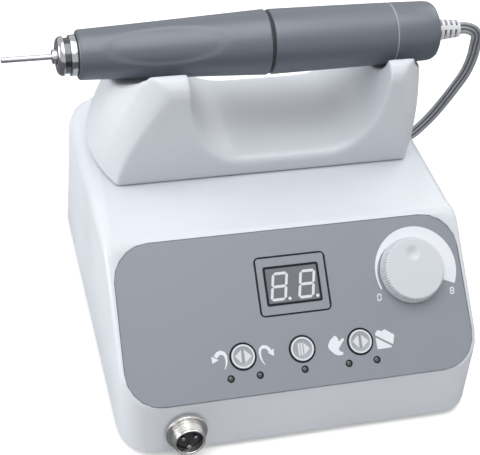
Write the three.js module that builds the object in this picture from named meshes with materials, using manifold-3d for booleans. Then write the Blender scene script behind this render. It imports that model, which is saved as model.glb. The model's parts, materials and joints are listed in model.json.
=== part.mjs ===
import * as THREE from 'three';
import { mergeVertices } from 'three/addons/utils/BufferGeometryUtils.js';
import ManifoldModule from 'manifold-3d';

// Micromotor polisher: a wedge-fronted control box with a cradle on top,
// a handpiece lying in the cradle, and the handpiece's cord with its plug.
// Millimetres, +Z up. X runs along the handpiece, the front faces -Y, and
// Y 0 is the lower edge of the sloping panel until the last lines centre it.

// Shared clearances
const seatGap = 0.3;
const slideGap = 0.4;
const overrun = 5;
const weldDistance = 0.001;

// Housing
const housingWidth = 154;
const housingRear = 157;
const housingBase = 2.5;
const wall = 3;
const lipLean = 4;
const panelEdgeHeight = 26;
const panelSlope = THREE.MathUtils.degToRad(37);
const panelLength = 66.4;
const panelRecess = 0.5;
const topFall = THREE.MathUtils.degToRad(1);
const browRadius = 12;
const frontCornerRadius = 13;
const rearCornerRadius = 18;
const sideFilletLow = 3;
const sideFilletHigh = 9;
const frontFillet = 3;
const rearFillet = 7;
const cornerSteps = 5;
const filletSteps = 3;
const sideStations = 5;
const sideRunShare = 1.6;
const bossRadius = 4;
const bossHoleRadius = 1.5;
const bossInset = 17;
const ventCount = 6;
const ventWidth = 2.4;
const ventLength = 26;
const ventPitch = 6;

// Base plate, feet and screws
const plateThickness = 2.5;
const plateLeanShare = 0.8;
const footRadius = 7;
const footSoleShare = 0.92;
const footBoreRadius = 2.1;
const footCupRadius = 3.9;
const footCupDepth = 1.6;
const screwHeadRadius = 3.2;
const screwHeadShare = 0.8;
const screwHeadHeight = 1.2;
const screwRadius = 1.2;
const screwLength = 14;

// Front panel
const panelMargin = 2;
const panelTaper = 2;
const panelLowWidth = housingWidth - 2 * panelMargin;
const panelHighWidth = panelLowWidth - panelTaper;
const panelCorner = 15;
const panelThickness = 1;
const displayX = -0.6;
const displayBelowEdge = 23.2;
const displayUp = panelLength - displayBelowEdge;
const windowWidth = 30.5;
const windowHeight = 24.5;
const windowCorner = 2.5;
const moduleWidth = 24;
const moduleHeight = 16.4;
const buttonX = -0.5;
const buttonPitch = 25.3;
const buttonUp = 16.1;
const buttonHoleRadius = 5.35;
const buttonProud = 0.5;
const buttonTravel = 0.6;
const buttonFlange = 0.5;
const buttonFlangeHeight = 0.7;
const stemRadius = 1.5;
const lampRadius = 1.25;
const lampOffset = 6.15;
const lampUp = 7.7;
const lampDomeShare = 0.8;
const boardClearance = 6.1;
const boardTopClearance = 14.4;
const boardHeight = panelLength - boardTopClearance;
const boardThickness = 1.6;
const boardDepth = 7;
const boardPostRadius = 2;
const boardPostInset = 4;
const switchSize = 6;
const switchHeight = 3.2;

// Speed knob and its potentiometer
const knobMargin = 23;
const knobX = panelLowWidth / 2 - knobMargin;
const knobBelowEdge = 23.1;
const knobUp = panelLength - knobBelowEdge;
const knobBaseRadius = 14.1;
const knobTopRadius = 13.2;
const knobHeight = 4.8;
const knobEdgeRadius = 1;
const knobEdgeShare = 0.3;
const knobGripCount = 32;
const knobGripDepth = 0.35;
const knobDimpleRadius = 4.2;
const knobDimpleDepth = 0.9;
const knobDimpleUp = 6.6;
const knobCavityRadius = 9;
const knobCavityDepth = 1.3;
const knobCover = 1.4;
const potRadius = 8.5;
const potDepth = 9;
const potBushRadius = 3.5;
const potNutWidth = 9.6;
const potNutHeight = 2;
const nutCornerShare = 0.58;
const potShaftRadius = 2.6;
const boardWidth = 2 * (knobX - potRadius - boardClearance - displayX);

// Motor socket in the front lip
const socketInset = 25.6;
const socketX = socketInset - housingWidth / 2;
const socketHeight = 12.5;
const socketFlangeRadius = 8.7;
const socketFlangeThickness = 2;
const socketBarrelRadius = 6.75;
const socketBarrelLength = 7.5;
const socketBoreRadius = 5.6;
const socketBoreDepth = 3.2;
const socketTail = 8;
const socketPocketDepth = 1.9;
const socketPocketLength = 22;
const socketPinRadius = 0.8;
const socketPinCircle = 3;
const socketPinLength = 2.4;
const socketPinCount = 3;
const socketNutWidth = 16;
const socketNutThickness = 2.6;
const socketThreadRadius = 6.4;
const socketThreadPitch = 1.2;
const socketThreadDepth = 0.35;
const socketCollarRadius = 7;
const socketCollarHeight = 0.4;

// Cradle
const cradleFront = 88;
const cradleRear = 139;
const cradleInset = 12;
const leftTopLean = 21;
const rightTopLean = 10;
const cradleHalfBase = housingWidth / 2 - cradleInset;
const leftTopHalf = cradleHalfBase - leftTopLean;
const rightTopHalf = cradleHalfBase - rightTopLean;
const leanPower = 1.5;
const bulgePower = 0.4;
const valleyPower = 1.15;
const lipTop = 117.6;
const bulgeLow = 6.5;
const bulgeGain = 8;
const valleyFloor = 75;
const valleyRise = 5.5;
const leftHumpWidth = 8;
const rightHumpWidth = 4.5;
const leftValleyReach = 28;
const rightValleyReach = 23.5;
const valleyLeftTop = leftHumpWidth - leftTopHalf;
const valleyLeftFoot = valleyLeftTop + leftValleyReach;
const valleyRightTop = rightTopHalf - rightHumpWidth;
const valleyRightFoot = valleyRightTop - rightValleyReach;
const lipRoll = 8;
const valleyRoll = 3;
const troughRadius = 18.2;
const cradleRingShares = [0, 0.15, 0.4, 0.7, 1];
const cradleMidStations = 5;
const edgeSteps = 8;
const valleySteps = 9;
const pegRadius = 4;
const pegLength = 6;
const pegInset = 21;
const pegX = cradleHalfBase - pegInset;

// Handpiece, along X
const handY = 113.5;
const handZ = 117.6;
const noseEnd = -87.2;
const noseRadius = 8.1;
const noseRearRadius = 8.4;
const noseGroove = 1.1;
const noseMouthShare = 0.72;
const noseShoulderShare = 0.94;
const noseShoulder = 0.66;
const noseRound = 1.65;
const noseGrooveHalf = 1.32;
const sleeveFront = -78.8;
const sleeveRear = 0.9;
const sleeveFrontRadius = 10.3;
const sleeveRearRadius = 13.8;
const sleeveNoseRound = 2.6;
const sleevePower = 1.08;
const sleeveWall = 2.2;
const barrelRadius = 7.2;
const barrelBore = 6;
const twistGap = 1.6;
const bodyFrontRadius = 13.7;
const bodyRearRadius = 13.2;
const bodyRear = 56.4;
const bodyWall = 1.6;
const capRearRadius = 12.7;
const capRound = 4;
const capRear = 77;
const capSteps = 4;
const capWall = 3.2;
const reliefRear = 89;
const reliefRadius = 4.6;
const reliefTipRadius = 4;
const reliefGroove = 1.1;
const reliefRibs = 4;
const reliefBore = 2.9;
const thumbX = -44;
const thumbLength = 30;
const thumbWidth = 8.5;
const thumbDepth = 0.9;
const shaftRadius = 3.2;
const colletRadius = 3;
const colletTip = -88.9;
const colletRear = -64;
const burRadius = 1.17;
const burTipShare = 0.8;
const burTipLength = 0.47;
const burOut = 20.5;
const burIn = 22;
const bearingOuter = 5.7;
const bearingWidth = 5;
const rearBearingX = 60;
const rotorRadius = 6;
const rotorFront = 8;
const rotorRear = 50;
const statorOuter = 11.4;
const statorInner = 6.6;

// Cord, coil, tie and plug
const cordRadius = 2.6;
const coilX = -21;
const coilClearance = 8;
const coilPitch = 5.6;
const coilMeanRadius = 26.6;
const coilTurnsPerLayer = 3;
const coilLift = 3.9;
const coilSteps = 24;
const coilSides = 6;
const coilClimbTurns = 0.5;
const cordFreeSteps = 42;
const leftOffShare = 0.25;
const tailBend = 16;
const tailRun = 4;
const tailSteps = 6;
const tieThickness = 0.8;
const tieWidth = 9;
const plugRadius = 7;
const plugRingRadius = 8.2;
const plugBodyLength = 24;
const plugRingLength = 15;
const plugRingShare = 0.6;
const plugStep = 0.45;
const plugBootLength = 9;
const plugBootRadius = 4.4;
const plugRingRibs = 20;

// Rear connectors and inner pieces
const rearHeight = 30;
const cornerClearance = 6;
const inletWidth = 30;
const inletX = inletWidth / 2 + cornerClearance + rearCornerRadius - housingWidth / 2;
const inletHeight = 23;
const inletBodyWidth = 27;
const inletBodyHeight = 20;
const inletHoleWidth = 24;
const inletHoleHeight = 16.4;
const inletDepth = 16;
const inletCorner = 4.5;
const bladeWidth = 2;
const bladeHeight = 4;
const bladeLength = 11;
const bladePitch = 7;
const rockerFrameWidth = 15;
const rockerFrameHeight = 21;
const rockerFrameRim = 1;
const rockerWidth = 10.6;
const rockerHeight = 16.6;
const rockerDepth = 6;
const rockerPeak = 3;
const rockerFrameDepth = 15;
const rockerWellDepth = 9;
const rockerBellyShare = 0.275;
const rockerTilt = THREE.MathUtils.degToRad(7);
const bezelThickness = 1.8;
const fuseRadius = 7;
const fuseBodyRadius = 5.6;
const fuseDepth = 24;
const fuseSlot = 1.2;
const fuseTailShare = 0.8;
const fuseCapShare = 0.95;
const fuseCapHeight = 3.6;
const pedalRadius = 6.5;
const pedalX = housingWidth / 2 - rearCornerRadius - cornerClearance - pedalRadius;
const rearRoom = pedalX - pedalRadius - inletX - inletWidth / 2;
const rearGap = (rearRoom - rockerFrameWidth - 2 * fuseRadius) / 3;
const rockerX = inletX + inletWidth / 2 + rearGap + rockerFrameWidth / 2;
const fuseX = pedalX - pedalRadius - rearGap - fuseRadius;
const pedalBodyRadius = 4.6;
const pedalBore = 3.2;
const pedalCollar = 2.7;
const pedalDepth = 18;
const powerBoardDepth = 46;
const powerBoardY = 112;
const powerBoardSide = 14;
const powerBoardGap = 2;
const standoffHeight = 5;
const standoffRadius = 2.6;
const transformerSide = 6;
const transformerY = 104;
const transformerWidth = 42;
const transformerX = transformerWidth / 2 + transformerSide + wall - housingWidth / 2;
const powerBoardLeft = transformerX + transformerWidth / 2 + powerBoardGap;
const powerBoardWidth = housingWidth / 2 - wall - powerBoardSide - powerBoardLeft;
const powerBoardX = powerBoardLeft + powerBoardWidth / 2;
const transformerDepth = 36;
const transformerHeight = 34;
const windingOverhang = 4;
const windingCorner = 6;
const windingWidthShare = 0.62;
const windingLowShare = 0.2;
const windingHighShare = 0.8;
const sinkOffset = 18;
const sinkX = powerBoardX + sinkOffset;
const sinkY = 112;
const sinkWidth = 30;
const sinkDepth = 26;
const sinkBase = 3;
const finHeight = 12;
const finCount = 6;
const finThickness = 1.6;

const wasm = await ManifoldModule();
wasm.setup();

// Geometry helpers

function signedVolume(geometry) {
  const place = geometry.getAttribute('position');
  const order = geometry.getIndex().array;
  const a = new THREE.Vector3();
  const b = new THREE.Vector3();
  const c = new THREE.Vector3();
  let total = 0;
  for (let i = 0; i < order.length; i += 3) {
    a.fromBufferAttribute(place, order[i]);
    b.fromBufferAttribute(place, order[i + 1]);
    c.fromBufferAttribute(place, order[i + 2]);
    total += a.dot(b.cross(c));
  }
  return total;
}

// Welds a mesh, drops collapsed faces and turns every face outward.
function sealed(source) {
  const bare = new THREE.BufferGeometry();
  bare.setAttribute('position', source.getAttribute('position').clone());
  if (source.getIndex()) bare.setIndex(source.getIndex().clone());
  const welded = mergeVertices(bare, weldDistance);
  const order = welded.getIndex().array;
  const kept = [];
  for (let i = 0; i < order.length; i += 3) {
    const [a, b, c] = [order[i], order[i + 1], order[i + 2]];
    if (a !== b && b !== c && c !== a) kept.push(a, b, c);
  }
  welded.setIndex(kept);
  if (signedVolume(welded) < 0) {
    for (let i = 0; i < kept.length; i += 3) {
      [kept[i + 1], kept[i + 2]] = [kept[i + 2], kept[i + 1]];
    }
    welded.setIndex(kept);
  }
  return welded;
}

function toSolid(geometry) {
  const clean = sealed(geometry);
  return new wasm.Manifold(new wasm.Mesh({
    numProp: 3,
    vertProperties: new Float32Array(clean.getAttribute('position').array),
    triVerts: new Uint32Array(clean.getIndex().array),
  }));
}

function toGeometry(solid) {
  const mesh = solid.getMesh();
  const geometry = new THREE.BufferGeometry();
  const points = [];
  for (let i = 0; i < mesh.vertProperties.length; i += mesh.numProp) {
    points.push(mesh.vertProperties[i], mesh.vertProperties[i + 1], mesh.vertProperties[i + 2]);
  }
  geometry.setAttribute('position', new THREE.Float32BufferAttribute(points, 3));
  geometry.setIndex(Array.from(mesh.triVerts));
  return geometry;
}

function cut(body, tools) {
  let solid = toSolid(body);
  for (const tool of tools) solid = solid.subtract(toSolid(tool));
  return toGeometry(solid);
}

function join(pieces) {
  let solid = toSolid(pieces[0]);
  for (const piece of pieces.slice(1)) solid = solid.add(toSolid(piece));
  return toGeometry(solid);
}

// A straight prism of a shape, from one height to another along Z.
function prism(shape, low, high, curveSegments = 12) {
  const settings = { depth: high - low, bevelEnabled: false, curveSegments };
  const geometry = new THREE.ExtrudeGeometry(shape, settings);
  geometry.translate(0, 0, low);
  return geometry;
}

function box(width, depth, low, high) {
  const geometry = new THREE.BoxGeometry(width, depth, high - low);
  geometry.translate(0, 0, (low + high) / 2);
  return geometry;
}

function roundedRectangle(width, height, radius) {
  const [w, h] = [width / 2 - radius, height / 2 - radius];
  const shape = new THREE.Shape();
  shape.absarc(w, h, radius, 0, Math.PI / 2);
  shape.absarc(-w, h, radius, Math.PI / 2, Math.PI);
  shape.absarc(-w, -h, radius, Math.PI, Math.PI * 1.5);
  shape.absarc(w, -h, radius, Math.PI * 1.5, Math.PI * 2);
  shape.closePath();
  return shape;
}

// A solid of revolution round Z from [height, radius] pairs that close on the axis.
function turned(profile, segments) {
  const points = profile.map(([height, radius]) => new THREE.Vector2(radius, height));
  const geometry = new THREE.LatheGeometry(points, segments);
  geometry.rotateX(Math.PI / 2);
  return geometry;
}

// The same round X.
function turnedAlongX(profile, segments) {
  const geometry = turned(profile, segments);
  geometry.rotateY(Math.PI / 2);
  return geometry;
}

// A ring of revolution: the profile is closed off the axis.
function ringProfile(low, high, inner, outer) {
  return [[low, inner], [low, outer], [high, outer], [high, inner], [low, inner]];
}

function rod(low, high, radius, segments = 20) {
  return turned([[low, 0], [low, radius], [high, radius], [high, 0]], segments);
}

// A hexagon nut with a round bore.
function hexNut(low, high, bore, acrossFlats) {
  return cut(rod(low, high, acrossFlats / 2 / Math.cos(Math.PI / 6), 6), [
    rod(low - overrun, high + overrun, bore, 20),
  ]);
}

// Joins equal rings of points into a skin and closes both ends with the given faces.
function loftRings(rings, startFaces, endFaces) {
  const points = [];
  const order = [];
  const count = rings[0].length;
  for (const ring of rings) {
    for (const point of ring) points.push(point.x, point.y, point.z);
  }
  for (let r = 0; r < rings.length - 1; r += 1) {
    for (let i = 0; i < count; i += 1) {
      const next = (i + 1) % count;
      const [a, b] = [r * count + i, r * count + next];
      const [c, d] = [(r + 1) * count + i, (r + 1) * count + next];
      order.push(a, b, d, a, d, c);
    }
  }
  const last = (rings.length - 1) * count;
  for (const [a, b, c] of startFaces) order.push(a, c, b);
  for (const [a, b, c] of endFaces) order.push(last + a, last + b, last + c);
  const geometry = new THREE.BufferGeometry();
  geometry.setAttribute('position', new THREE.Float32BufferAttribute(points, 3));
  geometry.setIndex(order);
  return geometry;
}

const model = new THREE.Group();
const panelGroup = new THREE.Group();
panelGroup.position.set(0, 0, panelEdgeHeight);
panelGroup.rotation.x = panelSlope;
model.add(panelGroup);

function finish(color, roughness, metalness = 0) {
  return { color, roughness, metalness };
}

const whiteShell = finish(0xe6eaf0, 0.35);
const darkPlastic = finish(0x1d1f22, 0.5);
const chrome = finish(0xd6d8da, 0.16, 1);
const steel = finish(0xb9bcc0, 0.3, 1);
const satinGrey = finish(0x7d848f, 0.45, 0.25);
const boardGreen = finish(0x1f6b43, 0.55);
const rubber = finish(0x2a2b2d, 0.85);

function addPiece(parent, name, geometry, look) {
  const mesh = new THREE.Mesh(sealed(geometry), new THREE.MeshStandardMaterial(look));
  mesh.name = name;
  parent.add(mesh);
  return mesh;
}

// Housing

// Height of the housing's upper skin at a distance back from the panel's lower edge.
// The slope and the top meet in a round brow.
const slopeStart = panelEdgeHeight + panelRecess / Math.cos(panelSlope);
const browY = panelLength * Math.cos(panelSlope);
const browZ = slopeStart + browY * Math.tan(panelSlope);
const browReach = browRadius * Math.tan((panelSlope + topFall) / 2);
const browStart = browY - browReach * Math.cos(panelSlope);
const browEnd = browY + browReach * Math.cos(topFall);
const browCentreY = browStart + browRadius * Math.sin(panelSlope);
const browCentreZ = slopeStart + browStart * Math.tan(panelSlope) - browRadius * Math.cos(panelSlope);

function topHeight(y) {
  if (y <= browStart) return slopeStart + y * Math.tan(panelSlope);
  if (y >= browEnd) return browZ - (y - browY) * Math.tan(topFall);
  const across = y - browCentreY;
  return browCentreZ + Math.sqrt(browRadius * browRadius - across * across);
}

function smoothStep(value) {
  const t = THREE.MathUtils.clamp(value, 0, 1);
  return t * t * (3 - 2 * t);
}

function filletAt(point, trim) {
  const growth = smoothStep((point.y - browStart) / (browEnd / 2));
  const side = THREE.MathUtils.lerp(sideFilletLow, sideFilletHigh, growth);
  const end = point.ny < 0 ? frontFillet : rearFillet;
  return Math.max(side * point.nx * point.nx + end * point.ny * point.ny - trim, 0);
}

// The housing's outline seen from above, trimmed inward, with outward directions.
function housingOutline(trim) {
  const half = housingWidth / 2 - trim;
  const front = trim;
  const rear = housingRear - trim;
  const frontRound = frontCornerRadius - trim;
  const rearRound = rearCornerRadius - trim;
  const right = [];
  for (let i = 0; i <= cornerSteps; i += 1) {
    const angle = -Math.PI / 2 + (Math.PI / 2) * (i / cornerSteps);
    const [nx, ny] = [Math.cos(angle), Math.sin(angle)];
    const [x, y] = [half - frontRound + nx * frontRound, front + frontRound + ny * frontRound];
    right.push({ x, y, nx, ny });
  }
  for (let i = 0; i < sideStations; i += 1) {
    const y = browStart + (browEnd - browStart) * sideRunShare * (i / (sideStations - 1));
    right.push({ x: half, y, nx: 1, ny: 0 });
  }
  for (let i = 0; i <= cornerSteps; i += 1) {
    const angle = (Math.PI / 2) * (i / cornerSteps);
    const [nx, ny] = [Math.cos(angle), Math.sin(angle)];
    const [x, y] = [half - rearRound + nx * rearRound, rear - rearRound + ny * rearRound];
    right.push({ x, y, nx, ny });
  }
  const left = right.map((p) => ({ x: -p.x, y: p.y, nx: -p.nx, ny: p.ny })).reverse();
  return [...right, ...left];
}

// A closed block of the housing's form, trimmed inward by a wall on every side.
function housingBlock(trim, baseHeight) {
  const outline = housingOutline(trim);
  const drop = trim / Math.cos(panelSlope);
  const leanShare = (panelEdgeHeight - baseHeight) / (panelEdgeHeight - housingBase);
  const rings = [outline.map((p) => {
    const lean = lipLean * Math.max(0, -p.ny) * leanShare;
    return new THREE.Vector3(p.x, p.y - lean, baseHeight);
  })];
  for (let k = 0; k <= filletSteps; k += 1) {
    const turn = (Math.PI / 2) * (k / filletSteps);
    rings.push(outline.map((p) => {
      const round = filletAt(p, trim);
      const inward = round * (1 - Math.cos(turn));
      const [x, y] = [p.x - p.nx * inward, p.y - p.ny * inward];
      return new THREE.Vector3(x, y, topHeight(y) - drop - round * (1 - Math.sin(turn)));
    }));
  }
  const half = outline.length / 2;
  const faces = [];
  for (let i = 1; i < half; i += 1) {
    const across = outline.length - i;
    faces.push([i - 1, i, across - 1], [i - 1, across - 1, across]);
  }
  return loftRings(rings, faces, faces);
}

// Places a panel-frame shape in the housing's frame.
function fromPanel(geometry) {
  geometry.rotateX(panelSlope);
  geometry.translate(0, 0, panelEdgeHeight);
  return geometry;
}

function panelShape(grow) {
  const low = panelLowWidth / 2 + grow;
  const high = panelHighWidth / 2 + grow;
  const round = panelCorner + grow;
  const [bottom, top] = [-grow, panelLength + grow];
  const corners = [[low, bottom], [high, top], [-high, top], [-low, bottom]];
  const shape = new THREE.Shape();
  corners.forEach(([x, y], i) => {
    const [px, py] = corners[(i + 3) % 4];
    const [nx, ny] = corners[(i + 1) % 4];
    const before = new THREE.Vector2(px - x, py - y).setLength(round);
    const after = new THREE.Vector2(nx - x, ny - y).setLength(round);
    if (i === 0) shape.moveTo(x + before.x, y + before.y);
    else shape.lineTo(x + before.x, y + before.y);
    // The handles of a quarter circle are 0.55 of its radius.
    const handleShare = 0.55;
    shape.bezierCurveTo(
      x + before.x * (1 - handleShare), y + before.y * (1 - handleShare),
      x + after.x * (1 - handleShare), y + after.y * (1 - handleShare),
      x + after.x, y + after.y,
    );
  });
  shape.closePath();
  return shape;
}

function panelDisc(x, up, low, high, radius, segments = 20) {
  const geometry = rod(low, high, radius, segments);
  geometry.translate(x, up, 0);
  return geometry;
}

const buttonPlaces = [-1, 0, 1].map((side) => buttonX + side * buttonPitch);
const [leftKeyX, middleKeyX, rightKeyX] = buttonPlaces;
const lampPlaces = [
  leftKeyX - lampOffset,
  leftKeyX + lampOffset,
  middleKeyX,
  rightKeyX - lampOffset,
  rightKeyX + lampOffset,
];
const recessFloor = -(panelThickness + seatGap);
const skinUnder = panelRecess - wall;
const boardTop = skinUnder - boardDepth + boardThickness;
const boardX = displayX;
const boardUp = boardHeight / 2 + seatGap;
const boardLow = boardTop - boardThickness;
const boardPosts = [];
for (const side of [-1, 1]) {
  for (const end of [-1, 1]) {
    boardPosts.push([
      boardX + side * (boardWidth / 2 - boardPostInset),
      boardUp + end * (boardHeight / 2 - boardPostInset),
    ]);
  }
}

const bossPlaces = [];
for (const side of [-1, 1]) {
  for (const y of [bossInset, housingRear - bossInset]) {
    bossPlaces.push([side * (housingWidth / 2 - bossInset), y]);
  }
}
const plateTop = housingBase + plateThickness;
const plateHoleRadius = screwRadius + seatGap;

const lipTilt = Math.atan(lipLean / (panelEdgeHeight - housingBase));
const socketFaceY = -lipLean * (panelEdgeHeight - socketHeight) / (panelEdgeHeight - housingBase);

// Places a socket-frame shape, whose +Z points out of the lip, in the housing's frame.
function fromLip(geometry) {
  geometry.rotateX(Math.PI / 2 - lipTilt);
  geometry.translate(socketX, socketFaceY, socketHeight);
  return geometry;
}

// Turns a shape whose +Z points out of the rear wall into the housing's frame.
function fromRear(geometry, x, height) {
  geometry.rotateX(-Math.PI / 2);
  geometry.translate(x, housingRear, height);
  return geometry;
}

const pegY = (cradleFront + cradleRear) / 2;
const pegSeatZ = topHeight(pegY) + seatGap;
const pegPlaces = [-pegX, pegX];

function movedRod(x, y, low, high, radius, segments) {
  const geometry = rod(low, high, radius, segments);
  geometry.translate(x, y, 0);
  return geometry;
}

const outerBlock = housingBlock(0, housingBase);
const innerBlock = housingBlock(wall, housingBase - overrun);
let housing = cut(outerBlock, [innerBlock]);
const bosses = bossPlaces.map(([x, y]) => movedRod(
  x, y, plateTop + seatGap, topHeight(y) - wall / 2, bossRadius, 12,
));
const posts = boardPosts.map(([x, up]) => fromPanel(
  panelDisc(x, up, boardTop + seatGap, skinUnder + wall / 4, boardPostRadius, 8),
));
housing = join([housing, ...bosses, ...posts]);
const housingCuts = [
  fromPanel(prism(panelShape(seatGap), recessFloor, overrun, 5)),
  ...bossPlaces.map(([x, y]) => movedRod(
    x, y, housingBase - overrun, housingBase + screwLength + overrun, bossHoleRadius, 8,
  )),
  ...buttonPlaces.map((x) => fromPanel(
    panelDisc(x, buttonUp, -overrun, overrun, buttonHoleRadius + buttonFlange + slideGap, 16),
  )),
  ...lampPlaces.map((x) => fromPanel(
    panelDisc(x, lampUp, -overrun, overrun, lampRadius + seatGap, 8),
  )),
  fromPanel(panelDisc(knobX, knobUp, -overrun, overrun, potBushRadius + seatGap, 12)),
  fromLip(rod(-wall - overrun, overrun, socketThreadRadius + seatGap, 20)),
  fromRear(prism(
    roundedRectangle(inletBodyWidth + seatGap, inletBodyHeight + seatGap, inletCorner),
    -wall - overrun, overrun, 3,
  ), inletX, rearHeight),
  fromRear(box(
    rockerFrameWidth - 2 * rockerFrameRim + seatGap,
    rockerFrameHeight - 2 * rockerFrameRim + seatGap,
    -wall - overrun, overrun,
  ), rockerX, rearHeight),
  fromRear(rod(-wall - overrun, overrun, fuseBodyRadius + seatGap, 16), fuseX, rearHeight),
  fromRear(rod(-wall - overrun, overrun, pedalBodyRadius + seatGap, 16), pedalX, rearHeight),
  ...pegPlaces.map((x) => movedRod(
    x, pegY, pegSeatZ - pegLength - overrun, pegSeatZ + overrun, pegRadius + seatGap, 12,
  )),
];
const moduleHole = box(moduleWidth + 2 * seatGap, moduleHeight + 2 * seatGap, -overrun, overrun);
moduleHole.translate(displayX, displayUp, 0);
housingCuts.push(fromPanel(moduleHole));
addPiece(model, 'upper_housing', cut(housing, housingCuts), whiteShell);

// Base plate with vent slots, four feet and their screws

function plateShape() {
  const outline = housingOutline(wall + seatGap);
  const shape = new THREE.Shape();
  outline.forEach((p, i) => {
    const lean = lipLean * Math.max(0, -p.ny) * plateLeanShare;
    if (i === 0) shape.moveTo(p.x, p.y - lean);
    else shape.lineTo(p.x, p.y - lean);
  });
  shape.closePath();
  for (const [x, y] of bossPlaces) {
    const hole = new THREE.Path();
    hole.absarc(x, y, plateHoleRadius, 0, Math.PI * 2, true);
    shape.holes.push(hole);
  }
  for (let i = 0; i < ventCount; i += 1) {
    const x = (i - (ventCount - 1) / 2) * ventPitch;
    const hole = new THREE.Path();
    const [w, low, high] = [ventWidth / 2, browY - ventLength / 2, browY + ventLength / 2];
    hole.absarc(x, high, w, 0, Math.PI);
    hole.absarc(x, low, w, Math.PI, Math.PI * 2);
    hole.closePath();
    shape.holes.push(hole);
  }
  return shape;
}

const standoffPlaces = [];
for (const side of [-1, 1]) {
  for (const end of [-1, 1]) {
    standoffPlaces.push([
      powerBoardX + side * (powerBoardWidth / 2 - 2 * standoffRadius),
      powerBoardY + end * (powerBoardDepth / 2 - 2 * standoffRadius),
    ]);
  }
}
// A shallow pocket in the plate clears the nut and tail of the motor socket.
const socketPocket = box(
  socketNutWidth + 4 * seatGap, socketPocketLength,
  plateTop - socketPocketDepth, plateTop + overrun,
);
socketPocket.translate(socketX, 0, 0);
addPiece(model, 'base_plate', cut(join([
  prism(plateShape(), housingBase, plateTop, 3),
  ...standoffPlaces.map(([x, y]) => movedRod(
    x, y, plateTop - plateThickness / 2, plateTop + standoffHeight, standoffRadius, 8,
  )),
]), [socketPocket]), whiteShell);

bossPlaces.forEach(([x, y], i) => {
  const foot = turned([
    [0, footCupRadius],
    [0, footRadius * footSoleShare],
    [housingBase / 2, footRadius],
    [housingBase, footRadius],
    [housingBase, footBoreRadius],
    [footCupDepth, footBoreRadius],
    [footCupDepth, footCupRadius],
    [0, footCupRadius],
  ], 12);
  foot.translate(x, y, 0);
  addPiece(model, `rubber_foot_${i + 1}`, foot, rubber);
  const headLow = footCupDepth - screwHeadHeight;
  const screw = turned([
    [headLow, 0],
    [headLow, screwHeadRadius * screwHeadShare],
    [headLow + screwHeadHeight / 3, screwHeadRadius],
    [footCupDepth, screwHeadRadius],
    [footCupDepth, screwRadius],
    [footCupDepth + screwLength, screwRadius],
    [footCupDepth + screwLength, 0],
  ], 8);
  screw.translate(x, y, 0);
  addPiece(model, `base_screw_${i + 1}`, screw, steel);
});

// Panel plate, display, keys and lamps

const panelCuts = [
  ...buttonPlaces.map((x) => panelDisc(x, buttonUp, -overrun, overrun, buttonHoleRadius, 16)),
  ...lampPlaces.map((x) => panelDisc(x, lampUp, -overrun, overrun, lampRadius + seatGap, 8)),
  panelDisc(knobX, knobUp, -overrun, overrun, potNutWidth * nutCornerShare + seatGap, 16),
];
const windowHole = prism(
  roundedRectangle(windowWidth + 2 * seatGap, windowHeight + 2 * seatGap, windowCorner),
  -overrun, overrun, 3,
);
windowHole.translate(displayX, displayUp, 0);
panelCuts.push(windowHole);
addPiece(
  panelGroup, 'front_panel',
  cut(prism(panelShape(0), -panelThickness, 0, 8), panelCuts),
  finish(0x8f949e, 0.42),
);

const lens = prism(roundedRectangle(windowWidth, windowHeight, windowCorner), -panelThickness, 0, 4);
lens.translate(displayX, displayUp, 0);
addPiece(panelGroup, 'display_window', lens, finish(0x5c626c, 0.15));

const moduleTop = -panelThickness - seatGap;
const ledModule = box(moduleWidth, moduleHeight, boardTop + seatGap, moduleTop);
ledModule.translate(displayX, displayUp, 0);
addPiece(panelGroup, 'display_module', ledModule, darkPlastic);

const controlBoard = box(boardWidth, boardHeight, boardLow, boardTop);
controlBoard.translate(boardX, boardUp, 0);
addPiece(panelGroup, 'control_board', controlBoard, boardGreen);

const keyNames = ['reverse_button', 'standby_button', 'hand_foot_button'];
const switchTop = boardTop + seatGap + switchHeight;
buttonPlaces.forEach((x, i) => {
  const capRadius = buttonHoleRadius - slideGap;
  const flangeTop = -panelThickness - seatGap;
  const capLow = -panelThickness - seatGap - buttonFlangeHeight;
  const stemLow = boardTop + seatGap + buttonTravel + seatGap;
  const key = turned([
    [stemLow, 0],
    [stemLow, stemRadius],
    [capLow, stemRadius],
    [capLow, capRadius + buttonFlange],
    [flangeTop, capRadius + buttonFlange],
    [flangeTop, capRadius],
    [buttonProud - buttonFlange / 2, capRadius],
    [buttonProud, capRadius - buttonFlange / 2],
    [buttonProud, 0],
  ], 16);
  key.translate(x, buttonUp, 0);
  addPiece(panelGroup, keyNames[i], key, finish(0xc4c8d0, 0.4));
  const base = box(switchSize, switchSize, boardTop + seatGap, switchTop - switchHeight / 3);
  base.translate(x, buttonUp, 0);
  addPiece(panelGroup, `key_switch_${i + 1}`, cut(base, [
    panelDisc(x, buttonUp, boardTop + 2 * seatGap, switchTop + overrun, stemRadius + seatGap, 12),
  ]), darkPlastic);
});

lampPlaces.forEach((x, i) => {
  const lamp = turned([
    [boardTop + seatGap, 0],
    [boardTop + seatGap, lampRadius],
    [-lampRadius / 4, lampRadius],
    [0, lampRadius * lampDomeShare],
    [0, 0],
  ], 8);
  lamp.translate(x, lampUp, 0);
  addPiece(panelGroup, `mode_lamp_${i + 1}`, lamp, finish(0x3a2022, 0.3));
});

// Speed knob with a finely ribbed rim and a finger dimple

function ribbedRing(radius, height, count, depth) {
  const ring = [];
  for (let i = 0; i < count * 2; i += 1) {
    const angle = (Math.PI * i) / count;
    const reach = i % 2 === 0 ? radius : radius - depth;
    ring.push(new THREE.Vector3(Math.cos(angle) * reach, Math.sin(angle) * reach, height));
  }
  return ring;
}

function fanFaces(count) {
  const faces = [];
  for (let i = 1; i < count - 1; i += 1) faces.push([0, i, i + 1]);
  return faces;
}

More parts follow.
